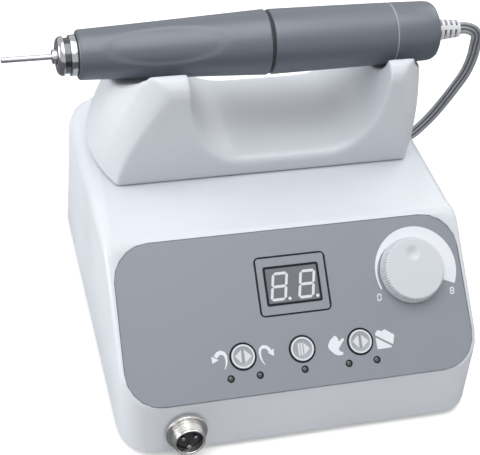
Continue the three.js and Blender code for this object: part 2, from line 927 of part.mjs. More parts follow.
const knobLow = seatGap;
const knobTop = knobLow + knobHeight;
const knobEdgeStep = knobEdgeRadius * knobEdgeShare;
const knobRings = [
  ribbedRing(knobBaseRadius, knobLow, knobGripCount, knobGripDepth),
  ribbedRing(knobTopRadius, knobTop - knobEdgeRadius, knobGripCount, knobGripDepth),
  ribbedRing(knobTopRadius - knobEdgeStep, knobTop - knobEdgeStep, knobGripCount, knobGripDepth / 2),
  ribbedRing(knobTopRadius - knobEdgeRadius, knobTop, knobGripCount, 0),
];
const knobFaces = fanFaces(knobGripCount * 2);
const dimple = new THREE.SphereGeometry(knobDimpleRadius, 16, 10);
dimple.translate(0, knobDimpleUp, knobTop + knobDimpleRadius - knobDimpleDepth);
const knob = cut(loftRings(knobRings, knobFaces, knobFaces), [
  rod(knobLow - overrun, knobLow + knobCavityDepth, knobCavityRadius, 20),
  dimple,
  rod(knobLow, knobTop - knobCover, potShaftRadius + seatGap, 12),
]);
knob.translate(knobX, knobUp, 0);
addPiece(panelGroup, 'speed_knob', knob, finish(0xd3d6dc, 0.4));

const potTop = skinUnder - seatGap;
const potNutLow = recessFloor + seatGap / 2;
const potBushTop = potNutLow + potNutHeight + seatGap;
const pot = cut(turned([
  [potTop - potDepth, 0],
  [potTop - potDepth, potRadius],
  [potTop, potRadius],
  [potTop, potBushRadius],
  [potBushTop, potBushRadius],
  [potBushTop, 0],
], 20), [rod(potTop - potDepth / 2, potBushTop + overrun, potShaftRadius + seatGap, 12)]);
pot.translate(knobX, knobUp, 0);
addPiece(panelGroup, 'potentiometer', pot, steel);
const potNut = hexNut(potNutLow, potNutLow + potNutHeight, potBushRadius + seatGap / 2, potNutWidth);
potNut.translate(knobX, knobUp, 0);
addPiece(panelGroup, 'potentiometer_nut', potNut, steel);
const potShaft = rod(potTop - potDepth / 2 + seatGap, knobTop - knobCover - seatGap, potShaftRadius, 12);
potShaft.translate(knobX, knobUp, 0);
addPiece(panelGroup, 'potentiometer_shaft', potShaft, steel);

// Motor socket: flange, threaded barrel, insulator, pins and the nut behind the lip

const lipGroup = new THREE.Group();
lipGroup.position.set(socketX, socketFaceY, socketHeight);
lipGroup.rotation.x = Math.PI / 2 - lipTilt;
model.add(lipGroup);

const flangeLow = seatGap;
const flangeTop = flangeLow + socketFlangeThickness;
const barrelTop = flangeTop + socketBarrelLength - socketFlangeThickness;
const socketProfile = [
  [-wall - socketTail, socketBoreRadius],
  [-wall - socketTail, socketThreadRadius],
  [flangeLow, socketThreadRadius],
  [flangeLow, socketFlangeRadius],
  [flangeTop - seatGap, socketFlangeRadius],
  [flangeTop, socketFlangeRadius - seatGap],
  [flangeTop, socketCollarRadius],
  [flangeTop + socketCollarHeight, socketCollarRadius],
  [flangeTop + socketCollarHeight, socketBarrelRadius - socketThreadDepth],
];
const threadTurns = Math.floor((barrelTop - flangeTop) / socketThreadPitch) - 1;
for (let i = 0; i < threadTurns; i += 1) {
  const low = flangeTop + (i + 0.5) * socketThreadPitch;
  socketProfile.push([low, socketBarrelRadius - socketThreadDepth]);
  socketProfile.push([low + socketThreadPitch / 2, socketBarrelRadius]);
}
socketProfile.push([barrelTop - socketThreadDepth, socketBarrelRadius - socketThreadDepth / 2]);
socketProfile.push([barrelTop, socketBarrelRadius - socketThreadDepth]);
socketProfile.push([barrelTop, socketBoreRadius]);
socketProfile.push([-wall - socketTail, socketBoreRadius]);
addPiece(lipGroup, 'motor_socket_shell', turned(socketProfile, 20), chrome);

const insulatorTop = barrelTop - socketBoreDepth;
const insulatorRadius = socketBoreRadius - seatGap;
const pinPlaces = [];
for (let i = 0; i < socketPinCount; i += 1) {
  const angle = Math.PI * 1.5 + (i * Math.PI * 2) / socketPinCount;
  pinPlaces.push([Math.cos(angle) * socketPinCircle, Math.sin(angle) * socketPinCircle]);
}
addPiece(lipGroup, 'motor_socket_insulator', cut(
  rod(-wall - socketTail + seatGap, insulatorTop, insulatorRadius, 20),
  pinPlaces.map(([x, y]) => movedRod(
    x, y, -wall - socketTail - overrun, insulatorTop + overrun, socketPinRadius + seatGap / 2, 8,
  )),
), darkPlastic);
pinPlaces.forEach(([x, y], i) => {
  const pinTop = insulatorTop + socketPinLength;
  const pin = turned([
    [-wall - socketTail - socketPinLength, 0],
    [-wall - socketTail - socketPinLength, socketPinRadius],
    [pinTop - socketPinRadius / 2, socketPinRadius],
    [pinTop, socketPinRadius / 2],
    [pinTop, 0],
  ], 8);
  pin.translate(x, y, 0);
  addPiece(lipGroup, `motor_socket_pin_${i + 1}`, pin, chrome);
});
const nutHigh = -wall - seatGap;
const nutLow = nutHigh - socketNutThickness;
const socketNut = hexNut(nutLow, nutHigh, socketThreadRadius + seatGap / 2, socketNutWidth);
socketNut.rotateZ(Math.PI / 6);
addPiece(lipGroup, 'motor_socket_nut', socketNut, steel);

// Cradle: a one-piece saddle with two humps, a deep valley between them for the
// fingers and a round trough along X in which the handpiece lies.

const cradleMid = (cradleFront + cradleRear) / 2;
const cradleHalfDepth = (cradleRear - cradleFront) / 2;

function edgeHalfWidth(t, topHalf, bulge) {
  const lean = (cradleHalfBase - topHalf) * t ** leanPower;
  return cradleHalfBase - lean + bulge * (bulgeLow + bulgeGain * t ** bulgePower);
}

// A smooth S between a hump's top and the valley floor: steep wall, round foot.
function valleyWall(topX, footX, floor, share) {
  const angle = (Math.PI / 2) * share;
  const x = topX + (footX - topX) * (1 - Math.cos(angle)) ** valleyPower;
  const z = lipTop - (lipTop - floor) * Math.sin(angle);
  return [x, z];
}

// The front elevation at one depth: along the base, up the right end, over, and down the left.
function cradleSection(y) {
  const along = (y - cradleMid) / cradleHalfDepth;
  const bulge = 1 - along * along;
  const fromFace = cradleHalfDepth - Math.abs(y - cradleMid);
  const floor = valleyFloor + valleyRise * ((along + 1) / 2);
  function rolled(z) {
    const heightShare = (z - floor) / (lipTop - floor);
    const roll = THREE.MathUtils.lerp(valleyRoll, lipRoll, THREE.MathUtils.clamp(heightShare, 0, 1));
    if (fromFace >= roll) return z;
    const inward = roll - fromFace;
    return z - roll + Math.sqrt(roll * roll - inward * inward);
  }
  const points = [];
  const base = topHeight(y) + seatGap;
  const top = rolled(lipTop);
  for (let i = 0; i <= edgeSteps; i += 1) {
    const t = i / edgeSteps;
    points.push([edgeHalfWidth(t, rightTopHalf, bulge), base + t * (top - base)]);
  }
  for (let i = 0; i <= valleySteps; i += 1) {
    const [x, z] = valleyWall(valleyRightTop, valleyRightFoot, floor, i / valleySteps);
    points.push([x, rolled(z)]);
  }
  for (let i = valleySteps; i >= 0; i -= 1) {
    const [x, z] = valleyWall(valleyLeftTop, valleyLeftFoot, floor, i / valleySteps);
    points.push([x, rolled(z)]);
  }
  for (let i = edgeSteps; i >= 0; i -= 1) {
    const t = i / edgeSteps;
    points.push([-edgeHalfWidth(t, leftTopHalf, bulge), base + t * (top - base)]);
  }
  return points.map(([x, z]) => new THREE.Vector3(x, y, z));
}

const cradleStations = [];
for (const share of cradleRingShares) {
  cradleStations.push(cradleFront + lipRoll * (1 - Math.cos((Math.PI / 2) * share)));
}
const midLow = cradleFront + lipRoll;
const midHigh = cradleRear - lipRoll;
for (let i = 1; i <= cradleMidStations; i += 1) {
  cradleStations.push(midLow + (midHigh - midLow) * (i / (cradleMidStations + 1)));
}
for (const share of [...cradleRingShares].reverse()) {
  cradleStations.push(cradleRear - lipRoll * (1 - Math.cos((Math.PI / 2) * share)));
}
const cradleRings = cradleStations.map(cradleSection);
const flatFront = cradleRings[0].map((p) => new THREE.Vector2(p.x, p.z));
const cradleCaps = THREE.ShapeUtils.triangulateShape(flatFront, []);
const cradleBlock = loftRings(cradleRings, cradleCaps, cradleCaps);

function sleeveRadiusAt(x) {
  const share = (x - sleeveFront) / (sleeveRear - sleeveFront);
  return THREE.MathUtils.lerp(sleeveFrontRadius, sleeveRearRadius, share ** sleevePower);
}

function trough(fromX, toX, carried) {
  const cutter = turnedAlongX([
    [fromX, 0], [fromX, troughRadius], [toX, troughRadius], [toX, 0],
  ], 32);
  cutter.translate(0, handY, handZ - carried - seatGap + troughRadius);
  return cutter;
}

const leftCarried = sleeveRadiusAt(valleyLeftTop);
const rightCarried = bodyFrontRadius;
addPiece(model, 'handpiece_cradle', join([
  cut(cradleBlock, [
    trough(-housingWidth, 0, leftCarried),
    trough(0, housingWidth, rightCarried),
  ]),
  ...pegPlaces.map((x) => movedRod(x, pegY, pegSeatZ - pegLength, pegSeatZ + pegLength, pegRadius, 12)),
]), whiteShell);

// Handpiece

const handGroup = new THREE.Group();
handGroup.position.set(0, handY, handZ);
model.add(handGroup);

const barrelFront = sleeveFront - noseGrooveHalf;
const noseMid = (noseEnd + sleeveFront) / 2;
const noseProfile = [
  [noseEnd, colletRadius + slideGap],
  [noseEnd, noseRadius * noseMouthShare],
  [noseEnd + noseShoulder, noseRadius * noseShoulderShare],
  [noseEnd + noseRound, noseRadius],
  [noseMid - noseGrooveHalf, noseRadius],
  [noseMid - noseGroove, noseRadius - noseGroove],
  [noseMid + noseGroove, noseRadius - noseGroove],
  [noseMid + noseGrooveHalf, noseRearRadius],
  [sleeveFront - seatGap, noseRearRadius],
  [sleeveFront - seatGap, barrelRadius + seatGap / 2],
  [barrelFront - seatGap, barrelRadius + seatGap / 2],
  [barrelFront - seatGap, colletRadius + slideGap],
  [noseEnd, colletRadius + slideGap],
];
addPiece(handGroup, 'nose_ring', turnedAlongX(noseProfile, 24), chrome);

const sleeveOuter = [];
const sleeveRingCount = 6;
const sleeveRoundSteps = 3;
for (let i = 0; i <= sleeveRoundSteps; i += 1) {
  const angle = (Math.PI / 2) * (i / sleeveRoundSteps);
  const x = sleeveFront + sleeveNoseRound * (1 - Math.cos(angle));
  sleeveOuter.push([x, sleeveRadiusAt(x) - sleeveNoseRound * (1 - Math.sin(angle))]);
}
const sleeveStraight = sleeveFront + sleeveNoseRound;
for (let i = 1; i <= sleeveRingCount; i += 1) {
  const x = sleeveStraight + (sleeveRear - sleeveStraight) * (i / sleeveRingCount);
  sleeveOuter.push([x, sleeveRadiusAt(x)]);
}
const sleeveBore = barrelRadius + slideGap;
const sleeveHollow = sleeveRearRadius - sleeveWall;
const sleeveProfile = [
  [sleeveFront, sleeveBore],
  ...sleeveOuter,
  [sleeveRear, sleeveHollow],
  [sleeveRear - sleeveHollow, sleeveHollow],
  [sleeveRear - 2 * sleeveHollow, sleeveBore],
  [sleeveFront, sleeveBore],
];
// The shallow oval thumb rest faces up and forward.
const thumb = new THREE.SphereGeometry(1, 18, 12);
thumb.scale(thumbLength, thumbWidth, thumbWidth);
const thumbTurn = Math.PI / 4;
const thumbReach = sleeveRadiusAt(thumbX) + thumbWidth - thumbDepth;
thumb.translate(thumbX, -Math.sin(thumbTurn) * thumbReach, Math.cos(thumbTurn) * thumbReach);
addPiece(handGroup, 'front_sleeve', cut(turnedAlongX(sleeveProfile, 28), [thumb]), satinGrey);

// Motor case with the long barrel that carries the front bearing inside the sleeve.
const bodyFront = sleeveRear + twistGap;
const caseBore = bodyRearRadius - bodyWall;
const barrelStep = bodyFront - seatGap;
addPiece(handGroup, 'motor_case', turnedAlongX([
  [barrelFront, barrelBore],
  [barrelFront, barrelRadius],
  [barrelStep, barrelRadius],
  [barrelStep, bodyFrontRadius - sleeveWall],
  [bodyFront, bodyFrontRadius - seatGap],
  [bodyFront + seatGap, bodyFrontRadius],
  [(bodyFront + bodyRear) / 2, (bodyFrontRadius + bodyRearRadius) / 2],
  [bodyRear - seatGap, bodyRearRadius],
  [bodyRear, bodyRearRadius - seatGap],
  [bodyRear, caseBore],
  [bodyFront + bodyWall, caseBore],
  [bodyFront + bodyWall, barrelBore],
  [barrelFront, barrelBore],
], 28), satinGrey);

const capFront = bodyRear + seatGap;
const capOuter = [];
for (let i = 0; i <= capSteps; i += 1) {
  const angle = (Math.PI / 2) * (i / capSteps);
  const x = capRear - capRound * (1 - Math.sin(angle));
  capOuter.push([x, capRearRadius - capRound * (1 - Math.cos(angle))]);
}
const rearSeat = bearingOuter + seatGap;
addPiece(handGroup, 'end_cap', turnedAlongX([
  [capFront, rearSeat],
  [capFront, bodyRearRadius - seatGap],
  [capFront + seatGap, bodyRearRadius],
  ...capOuter,
  [capRear, reliefBore + seatGap],
  [capRear - capWall, reliefBore + seatGap],
  [capRear - capWall, rearSeat],
  [capFront, rearSeat],
], 28), satinGrey);

const reliefFront = capRear + seatGap;
const reliefProfile = [
  [reliefFront - capWall, 0],
  [reliefFront - capWall, reliefBore],
  [reliefFront, reliefBore],
  [reliefFront, reliefRadius],
];
const reliefPitch = (reliefRear - reliefFront) / (reliefRibs + 0.5);
for (let i = 0; i < reliefRibs; i += 1) {
  const start = reliefFront + reliefPitch * (i + 0.5);
  const radius = THREE.MathUtils.lerp(reliefRadius, reliefTipRadius, (i + 0.5) / reliefRibs);
  reliefProfile.push([start, radius], [start, radius - reliefGroove]);
  reliefProfile.push([start + reliefPitch / 2, radius - reliefGroove], [start + reliefPitch / 2, radius]);
}
reliefProfile.push([reliefRear, reliefTipRadius], [reliefRear, 0]);
addPiece(handGroup, 'strain_relief', turnedAlongX(reliefProfile, 12), finish(0xc9ccd2, 0.6));

// Spindle: collet in front, shaft and magnet behind, two ball bearings
const bearingFrontX = colletRear + 2 * seatGap;
const shaftFront = colletRear + seatGap;
addPiece(handGroup, 'collet', turnedAlongX([
  [colletTip, burRadius + seatGap / 2],
  [colletTip, colletRadius - seatGap],
  [colletTip + seatGap, colletRadius],
  [colletRear, colletRadius],
  [colletRear, burRadius + seatGap / 2],
  [colletTip, burRadius + seatGap / 2],
], 20), chrome);
addPiece(handGroup, 'rotor', turnedAlongX([
  [shaftFront, 0],
  [shaftFront, shaftRadius],
  [rotorFront, shaftRadius],
  [rotorFront, rotorRadius],
  [rotorRear, rotorRadius],
  [rotorRear, shaftRadius],
  [rearBearingX + bearingWidth, shaftRadius],
  [rearBearingX + bearingWidth, 0],
], 20), steel);
addPiece(handGroup, 'front_bearing', turnedAlongX(
  ringProfile(bearingFrontX, bearingFrontX + bearingWidth, shaftRadius + seatGap, bearingOuter), 20,
), steel);
addPiece(handGroup, 'rear_bearing', turnedAlongX(
  ringProfile(rearBearingX, rearBearingX + bearingWidth, shaftRadius + seatGap, bearingOuter), 20,
), steel);
addPiece(handGroup, 'stator', turnedAlongX(
  ringProfile(bodyFront + bodyWall + seatGap, rotorRear, statorInner, statorOuter - seatGap / 2), 20,
), finish(0xa8643a, 0.5, 0.6));
const burTip = colletTip - burOut;
addPiece(handGroup, 'bur_shank', turnedAlongX([
  [burTip, 0],
  [burTip, burRadius * burTipShare],
  [burTip + burTipLength, burRadius],
  [colletTip + burIn, burRadius],
  [colletTip + burIn, 0],
], 12), chrome);

// Rear wall: mains inlet, rocker switch, fuse holder and pedal socket

const inletGroup = new THREE.Group();
inletGroup.position.set(inletX, housingRear, rearHeight);
inletGroup.rotation.x = -Math.PI / 2;
model.add(inletGroup);

const inletHole = prism(
  roundedRectangle(inletHoleWidth, inletHoleHeight, inletCorner),
  bezelThickness - inletDepth, overrun, 3,
);
const inletBlades = [-1, 0, 1].map((side) => {
  const blade = box(bladeWidth, bladeHeight, -inletDepth, bezelThickness - inletDepth + bladeLength);
  blade.translate(side * bladePitch, side === 0 ? -bladeHeight / 2 : bladeHeight / 2, 0);
  return blade;
});
addPiece(inletGroup, 'mains_inlet', join([
  cut(join([
    prism(roundedRectangle(inletWidth, inletHeight, inletCorner), seatGap, bezelThickness, 3),
    prism(
      roundedRectangle(inletBodyWidth - seatGap, inletBodyHeight - seatGap, inletCorner),
      -inletDepth - bezelThickness, bezelThickness / 2, 3,
    ),
  ]), [inletHole]),
  ...inletBlades,
]), darkPlastic);

const rockerGroup = new THREE.Group();
rockerGroup.position.set(rockerX, housingRear, rearHeight);
rockerGroup.rotation.x = -Math.PI / 2;
model.add(rockerGroup);

const frameInnerWidth = rockerWidth + 2 * slideGap;
const frameInnerHeight = rockerHeight + 2 * slideGap;
const frameBody = box(
  rockerFrameWidth - 2 * rockerFrameRim - seatGap,
  rockerFrameHeight - 2 * rockerFrameRim - seatGap,
  -rockerFrameDepth, bezelThickness / 2,
);
const frameFlange = prism(
  roundedRectangle(rockerFrameWidth, rockerFrameHeight, bezelThickness),
  seatGap, bezelThickness, 3,
);
const frameHole = box(frameInnerWidth, frameInnerHeight, -rockerWellDepth, overrun);
addPiece(rockerGroup, 'power_switch_frame', cut(join([frameBody, frameFlange]), [frameHole]), darkPlastic);

// The rocker: a shallow V across its face and a half-round belly under it.
const rockerShape = new THREE.Shape();
const belly = rockerHeight * rockerBellyShare;
rockerShape.moveTo(-rockerHeight / 2, rockerPeak);
rockerShape.lineTo(-rockerHeight / 2, 0);
rockerShape.quadraticCurveTo(-belly, -rockerDepth, 0, -rockerDepth);
rockerShape.quadraticCurveTo(belly, -rockerDepth, rockerHeight / 2, 0);
rockerShape.lineTo(rockerHeight / 2, rockerPeak);
rockerShape.quadraticCurveTo(0, rockerPeak / 3, -rockerHeight / 2, rockerPeak);
const rocker = prism(rockerShape, -rockerWidth / 2, rockerWidth / 2, 5);
rocker.rotateY(Math.PI / 2);
rocker.rotateX(Math.PI / 2);
const rockerPivot = new THREE.Group();
rockerPivot.rotation.x = rockerTilt;
rockerGroup.add(rockerPivot);
addPiece(rockerPivot, 'power_rocker', rocker, darkPlastic);

const fuseGroup = new THREE.Group();
fuseGroup.position.set(fuseX, housingRear, rearHeight);
fuseGroup.rotation.x = -Math.PI / 2;
model.add(fuseGroup);
const slot = box(fuseRadius, fuseSlot, fuseCapHeight - fuseSlot, fuseCapHeight + overrun);
addPiece(fuseGroup, 'fuse_holder', cut(turned([
  [-fuseDepth, 0],
  [-fuseDepth, fuseBodyRadius * fuseTailShare],
  [-2 * wall, fuseBodyRadius],
  [seatGap, fuseBodyRadius],
  [seatGap, fuseRadius],
  [bezelThickness, fuseRadius],
  [bezelThickness, fuseBodyRadius],
  [fuseCapHeight, fuseBodyRadius * fuseCapShare],
  [fuseCapHeight, 0],
], 20), [slot]), darkPlastic);

const pedalGroup = new THREE.Group();
pedalGroup.position.set(pedalX, housingRear, rearHeight);
pedalGroup.rotation.x = -Math.PI / 2;
model.add(pedalGroup);
addPiece(pedalGroup, 'pedal_socket', turned([
  [-pedalDepth, 0],
  [-pedalDepth, pedalBodyRadius],
  [seatGap, pedalBodyRadius],
  [seatGap, pedalRadius],
  [bezelThickness, pedalRadius],
  [pedalCollar, pedalBodyRadius],
  [pedalCollar, pedalBore],
  [-pedalDepth + wall, pedalBore],
  [-pedalDepth + wall, 0],
], 20), chrome);

// Inside: power board on the plate's standoffs, transformer and finned heat sink

const boardSeat = plateTop + standoffHeight + seatGap;
const powerBoard = box(powerBoardWidth, powerBoardDepth, boardSeat, boardSeat + boardThickness);
powerBoard.translate(powerBoardX, powerBoardY, 0);
addPiece(model, 'power_board', powerBoard, boardGreen);

const coreLow = plateTop + seatGap;
const coreDepth = transformerDepth - 2 * windingOverhang;
const core = box(transformerWidth, coreDepth, coreLow, coreLow + transformerHeight);
const winding = prism(
  roundedRectangle(transformerWidth * windingWidthShare, transformerDepth, windingCorner),
  coreLow + transformerHeight * windingLowShare, coreLow + transformerHeight * windingHighShare, 4,
);
const transformer = join([core, winding]);
transformer.translate(transformerX, transformerY, 0);
addPiece(model, 'transformer', transformer, finish(0x54585e, 0.55, 0.4));

const sinkLow = boardSeat + boardThickness + seatGap;
const fins = [box(sinkWidth, sinkDepth, sinkLow, sinkLow + sinkBase)];
for (let i = 0; i < finCount; i += 1) {
  const fin = box(finThickness, sinkDepth, sinkLow, sinkLow + sinkBase + finHeight);
  fin.translate(((sinkWidth - finThickness) * (i - (finCount - 1) / 2)) / (finCount - 1), 0, 0);
  fins.push(fin);
}
const heatSink = join(fins);
heatSink.translate(sinkX, sinkY, 0);
addPiece(model, 'heat_sink', heatSink, finish(0x9ea2a8, 0.4, 0.9));

// Cord: a free fall from the strain relief to the table, then a piled coil

const coilOuter = coilMeanRadius + (coilTurnsPerLayer * coilPitch) / 2;
const coilFrontY = housingRear + coilClearance;
const coilY = coilFrontY + coilOuter;
const cordPoints = [
  [89.3, 113.5, 117.6],
  [92.5, 113.5, 117.6],
  [96.9, 114, 115.6],
  [100.3, 115.6, 111.2],
  [102.4, 118.4, 104.8],
  [106, 124.5, 92],
  [108.6, 131.5, 78],
  [109.9, 139.5, 63.4],
  [110, 146.5, 49.4],
  [109.2, 152.5, 36.6],
  [107.6, 157.6, 25.6],
  [104.8, 161.8, 16],
  [99.6, 164.8, 8.8],
  [91.5, 166, 4.6],
  [81.6, 165.6, 3],
  [70, 165.1, 2.8],
  [54, 165, 2.8],
  [36, 165, 2.8],
  [18, 165, 3],
];
const coilStart = new THREE.Vector3(coilX, coilFrontY, coilLift);
const leadIn = coilStart.x + 2 * cordRadius;
const freePath = cordPoints.map(([x, y, z]) => new THREE.Vector3(x, y, z));
freePath.push(new THREE.Vector3(leadIn + 4 * cordRadius, coilFrontY, coilLift));
freePath.push(new THREE.Vector3(leadIn + seatGap, coilFrontY, coilLift));
const freeCurve = new THREE.CatmullRomCurve3(freePath, false, 'centripetal');
const cordSection = new THREE.Shape();
cordSection.absarc(0, 0, cordRadius, 0, Math.PI * 2);
addPiece(model, 'cord_free', new THREE.ExtrudeGeometry(cordSection, {
  steps: cordFreeSteps,
  curveSegments: 4,
  bevelEnabled: false,
  extrudePath: freeCurve,
}), finish(0x9a9ea6, 0.6));

// The coil winds clockwise, in on the lower layer and out on the upper one.
function coilPoint(turn) {
  const total = 2 * coilTurnsPerLayer;
  const inward = Math.min(turn, total - turn);
  const radius = coilOuter - coilPitch * inward;
  const climb = smoothStep((turn - coilTurnsPerLayer) / coilClimbTurns + 1 / 2);
  const angle = -Math.PI / 2 - turn * Math.PI * 2;
  return new THREE.Vector3(
    coilX + Math.cos(angle) * radius,
    coilY + Math.sin(angle) * radius,
    coilLift + coilPitch * climb,
  );
}

const plugHeight = plugRingRadius + seatGap;
const coilPoints = [new THREE.Vector3(leadIn, coilFrontY, coilLift)];
// The end of the last turn is left off, so that the cord comes away at the coil's side.
const coilStepsInAll = coilSteps * (2 * coilTurnsPerLayer - leftOffShare);
for (let i = 0; i <= coilStepsInAll; i += 1) coilPoints.push(coilPoint(i / coilSteps));
const tailX = coilX + coilOuter - coilPitch * leftOffShare + tailBend;
const tailY = coilY - tailBend;
for (let i = 1; i <= tailSteps; i += 1) {
  const turn = (Math.PI / 2) * (i / tailSteps);
  coilPoints.push(new THREE.Vector3(
    tailX - tailBend * Math.cos(turn),
    coilY - tailBend * Math.sin(turn),
    THREE.MathUtils.lerp(coilLift + coilPitch, plugHeight, smoothStep(i / tailSteps)),
  ));
}
coilPoints.push(new THREE.Vector3(tailX + tailRun, tailY, plugHeight));

// A closed tube through points, its section kept square to the path.
function tubeThrough(points, radius, sides) {
  const rings = [];
  const up = new THREE.Vector3(0, 0, 1);
  points.forEach((point, i) => {
    const ahead = points[Math.min(i + 1, points.length - 1)];
    const behind = points[Math.max(i - 1, 0)];
    const tangent = ahead.clone().sub(behind).normalize();
    const side = new THREE.Vector3().crossVectors(tangent, up).normalize();
    const rise = new THREE.Vector3().crossVectors(side, tangent);
    const ring = [];
    for (let s = 0; s < sides; s += 1) {
      const angle = (Math.PI * 2 * (s + 0.5)) / sides;
      ring.push(point.clone()
        .addScaledVector(side, Math.cos(angle) * radius)
        .addScaledVector(rise, Math.sin(angle) * radius));
    }
    rings.push(ring);
  });
  return loftRings(rings, fanFaces(sides), fanFaces(sides));
}

addPiece(model, 'cord_coil', tubeThrough(coilPoints, cordRadius, coilSides), finish(0x6f747c, 0.6));

// Least distance between the skins of different turns, measured on the points.
let leastGap = Infinity;
coilPoints.forEach((a, i) => {
  coilPoints.forEach((b, j) => {
    if (j - i > coilSteps / 2) leastGap = Math.min(leastGap, a.distanceTo(b) - 2 * cordRadius);
  });
});
console.log(`coil: least gap between turns ${leastGap.toFixed(2)} mm`);

const tieNear = coilOuter + cordRadius + seatGap;
const tieFar = coilOuter - coilTurnsPerLayer * coilPitch - cordRadius - seatGap;
const tieLow = coilLift - cordRadius - seatGap;
const tieHigh = coilLift + coilPitch + cordRadius + seatGap;
const [tieSpan, tieRise] = [tieNear - tieFar, tieHigh - tieLow];
const tieShape = roundedRectangle(
  tieSpan + 2 * tieThickness, tieRise + 2 * tieThickness, 3 * tieThickness,
);
const tieHole = roundedRectangle(tieSpan, tieRise, 2 * tieThickness);
tieShape.holes.push(new THREE.Path(tieHole.getPoints(3).reverse()));
const tie = prism(tieShape, -tieWidth / 2, tieWidth / 2, 3);
tie.rotateX(Math.PI / 2);
tie.rotateZ(Math.PI / 2);
tie.translate(coilX, coilY + (tieNear + tieFar) / 2, (tieLow + tieHigh) / 2);
addPiece(model, 'coil_tie', tie, rubber);

// Plug on the cord's end: boot, body and knurled coupling ring
const plugGroup = new THREE.Group();
plugGroup.position.set(tailX + tailRun + seatGap, tailY, plugHeight);
model.add(plugGroup);
const bodyStart = plugBootLength;
const plugEnd = bodyStart + plugBodyLength;
const ringStart = plugEnd - plugRingLength * plugRingShare;
addPiece(plugGroup, 'plug_body', turnedAlongX([
  [0, 0],
  [0, cordRadius + seatGap],
  [bodyStart, plugBootRadius],
  [bodyStart, plugRadius - seatGap],
  [bodyStart + seatGap, plugRadius],
  [ringStart - seatGap, plugRadius],
  [ringStart - seatGap, plugRadius - plugStep],
  [plugEnd, plugRadius - plugStep],
  [plugEnd, socketBoreRadius - seatGap],
  [plugEnd + socketBoreDepth, socketBoreRadius - seatGap],
  [plugEnd + socketBoreDepth, 0],
], 24), steel);
const ringRings = [0, plugRingLength].map((x) => ribbedRing(plugRingRadius, x, plugRingRibs, seatGap));
const knurled = cut(loftRings(ringRings, fanFaces(plugRingRibs * 2), fanFaces(plugRingRibs * 2)), [
  rod(-overrun, plugRingLength + overrun, plugRadius - seatGap / 2, 20),
]);
knurled.rotateY(Math.PI / 2);
knurled.translate(ringStart, 0, 0);
addPiece(plugGroup, 'plug_ring', knurled, chrome);

// Centre the object, without what lies on the cord, over the origin.
model.updateMatrixWorld(true);
const cordNames = ['cord_free', 'cord_coil', 'coil_tie', 'plug_body', 'plug_ring'];
const extent = new THREE.Box3();
model.traverse((item) => {
  if (item.isMesh && !cordNames.includes(item.name)) extent.expandByObject(item, true);
});
const middle = extent.getCenter(new THREE.Vector3());
model.position.set(-middle.x, -middle.y, 0);

export default model;
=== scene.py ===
import bpy
import bmesh
import json
from math import acos, atan2, cos, hypot, pi, radians, sin, sqrt
from mathutils import Matrix, Vector
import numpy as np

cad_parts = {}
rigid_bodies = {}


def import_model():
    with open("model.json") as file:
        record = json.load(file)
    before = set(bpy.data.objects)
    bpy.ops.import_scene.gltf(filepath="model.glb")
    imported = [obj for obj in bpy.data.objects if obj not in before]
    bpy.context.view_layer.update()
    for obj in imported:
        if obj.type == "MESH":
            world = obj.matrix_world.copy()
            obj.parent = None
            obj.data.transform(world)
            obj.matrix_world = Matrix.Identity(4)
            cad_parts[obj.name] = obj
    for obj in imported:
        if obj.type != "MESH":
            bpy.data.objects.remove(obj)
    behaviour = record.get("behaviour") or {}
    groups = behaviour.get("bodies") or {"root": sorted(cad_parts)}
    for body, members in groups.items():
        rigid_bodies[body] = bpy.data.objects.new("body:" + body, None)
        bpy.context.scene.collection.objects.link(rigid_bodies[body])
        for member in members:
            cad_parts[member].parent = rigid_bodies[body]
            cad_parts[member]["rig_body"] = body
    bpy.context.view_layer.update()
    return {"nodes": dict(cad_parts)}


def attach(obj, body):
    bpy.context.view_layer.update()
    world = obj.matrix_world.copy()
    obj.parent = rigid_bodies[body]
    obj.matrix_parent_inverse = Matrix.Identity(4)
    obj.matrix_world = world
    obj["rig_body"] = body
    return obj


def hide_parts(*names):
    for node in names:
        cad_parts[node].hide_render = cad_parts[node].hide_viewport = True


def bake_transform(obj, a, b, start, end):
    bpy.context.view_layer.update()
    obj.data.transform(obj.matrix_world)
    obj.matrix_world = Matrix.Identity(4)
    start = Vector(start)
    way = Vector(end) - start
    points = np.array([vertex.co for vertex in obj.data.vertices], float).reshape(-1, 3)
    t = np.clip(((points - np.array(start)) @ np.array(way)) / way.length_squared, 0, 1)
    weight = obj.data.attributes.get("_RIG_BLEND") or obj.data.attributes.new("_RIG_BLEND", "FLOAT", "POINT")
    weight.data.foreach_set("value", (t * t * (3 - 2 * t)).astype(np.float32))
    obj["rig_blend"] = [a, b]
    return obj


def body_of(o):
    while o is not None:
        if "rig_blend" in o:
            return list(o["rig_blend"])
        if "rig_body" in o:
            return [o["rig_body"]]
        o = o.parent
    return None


# Micromotor polisher. Metres, +Z up, the front panel faces -Y, the handpiece lies along X.
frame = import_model()
cadNodes = frame["nodes"]
mm = 0.001
for spare in ("Cube", "Light", "Camera"):      # the start-up file's own
    if spare in bpy.data.objects:
        bpy.data.objects.remove(bpy.data.objects[spare])
print("frame loaded:", len(cadNodes), "nodes")


def newObject(name, data):
    made = bpy.data.objects.new(name, data)
    bpy.context.scene.collection.objects.link(made)
    return made


# camera

cameraSet = {
    "azimuth": -19.64,      # degrees round the object, 0 looks along +Y
    "elevation": 43.26,
    "roll": 7.77,
    "distance": 565.35,     # mm from the aim
    "aim": (-7.58, -14.96, 62.6),
    "lens": 101.25,         # mm
    "sensor": 36,           # mm across
    "clip": (0.01, 20),     # m
}


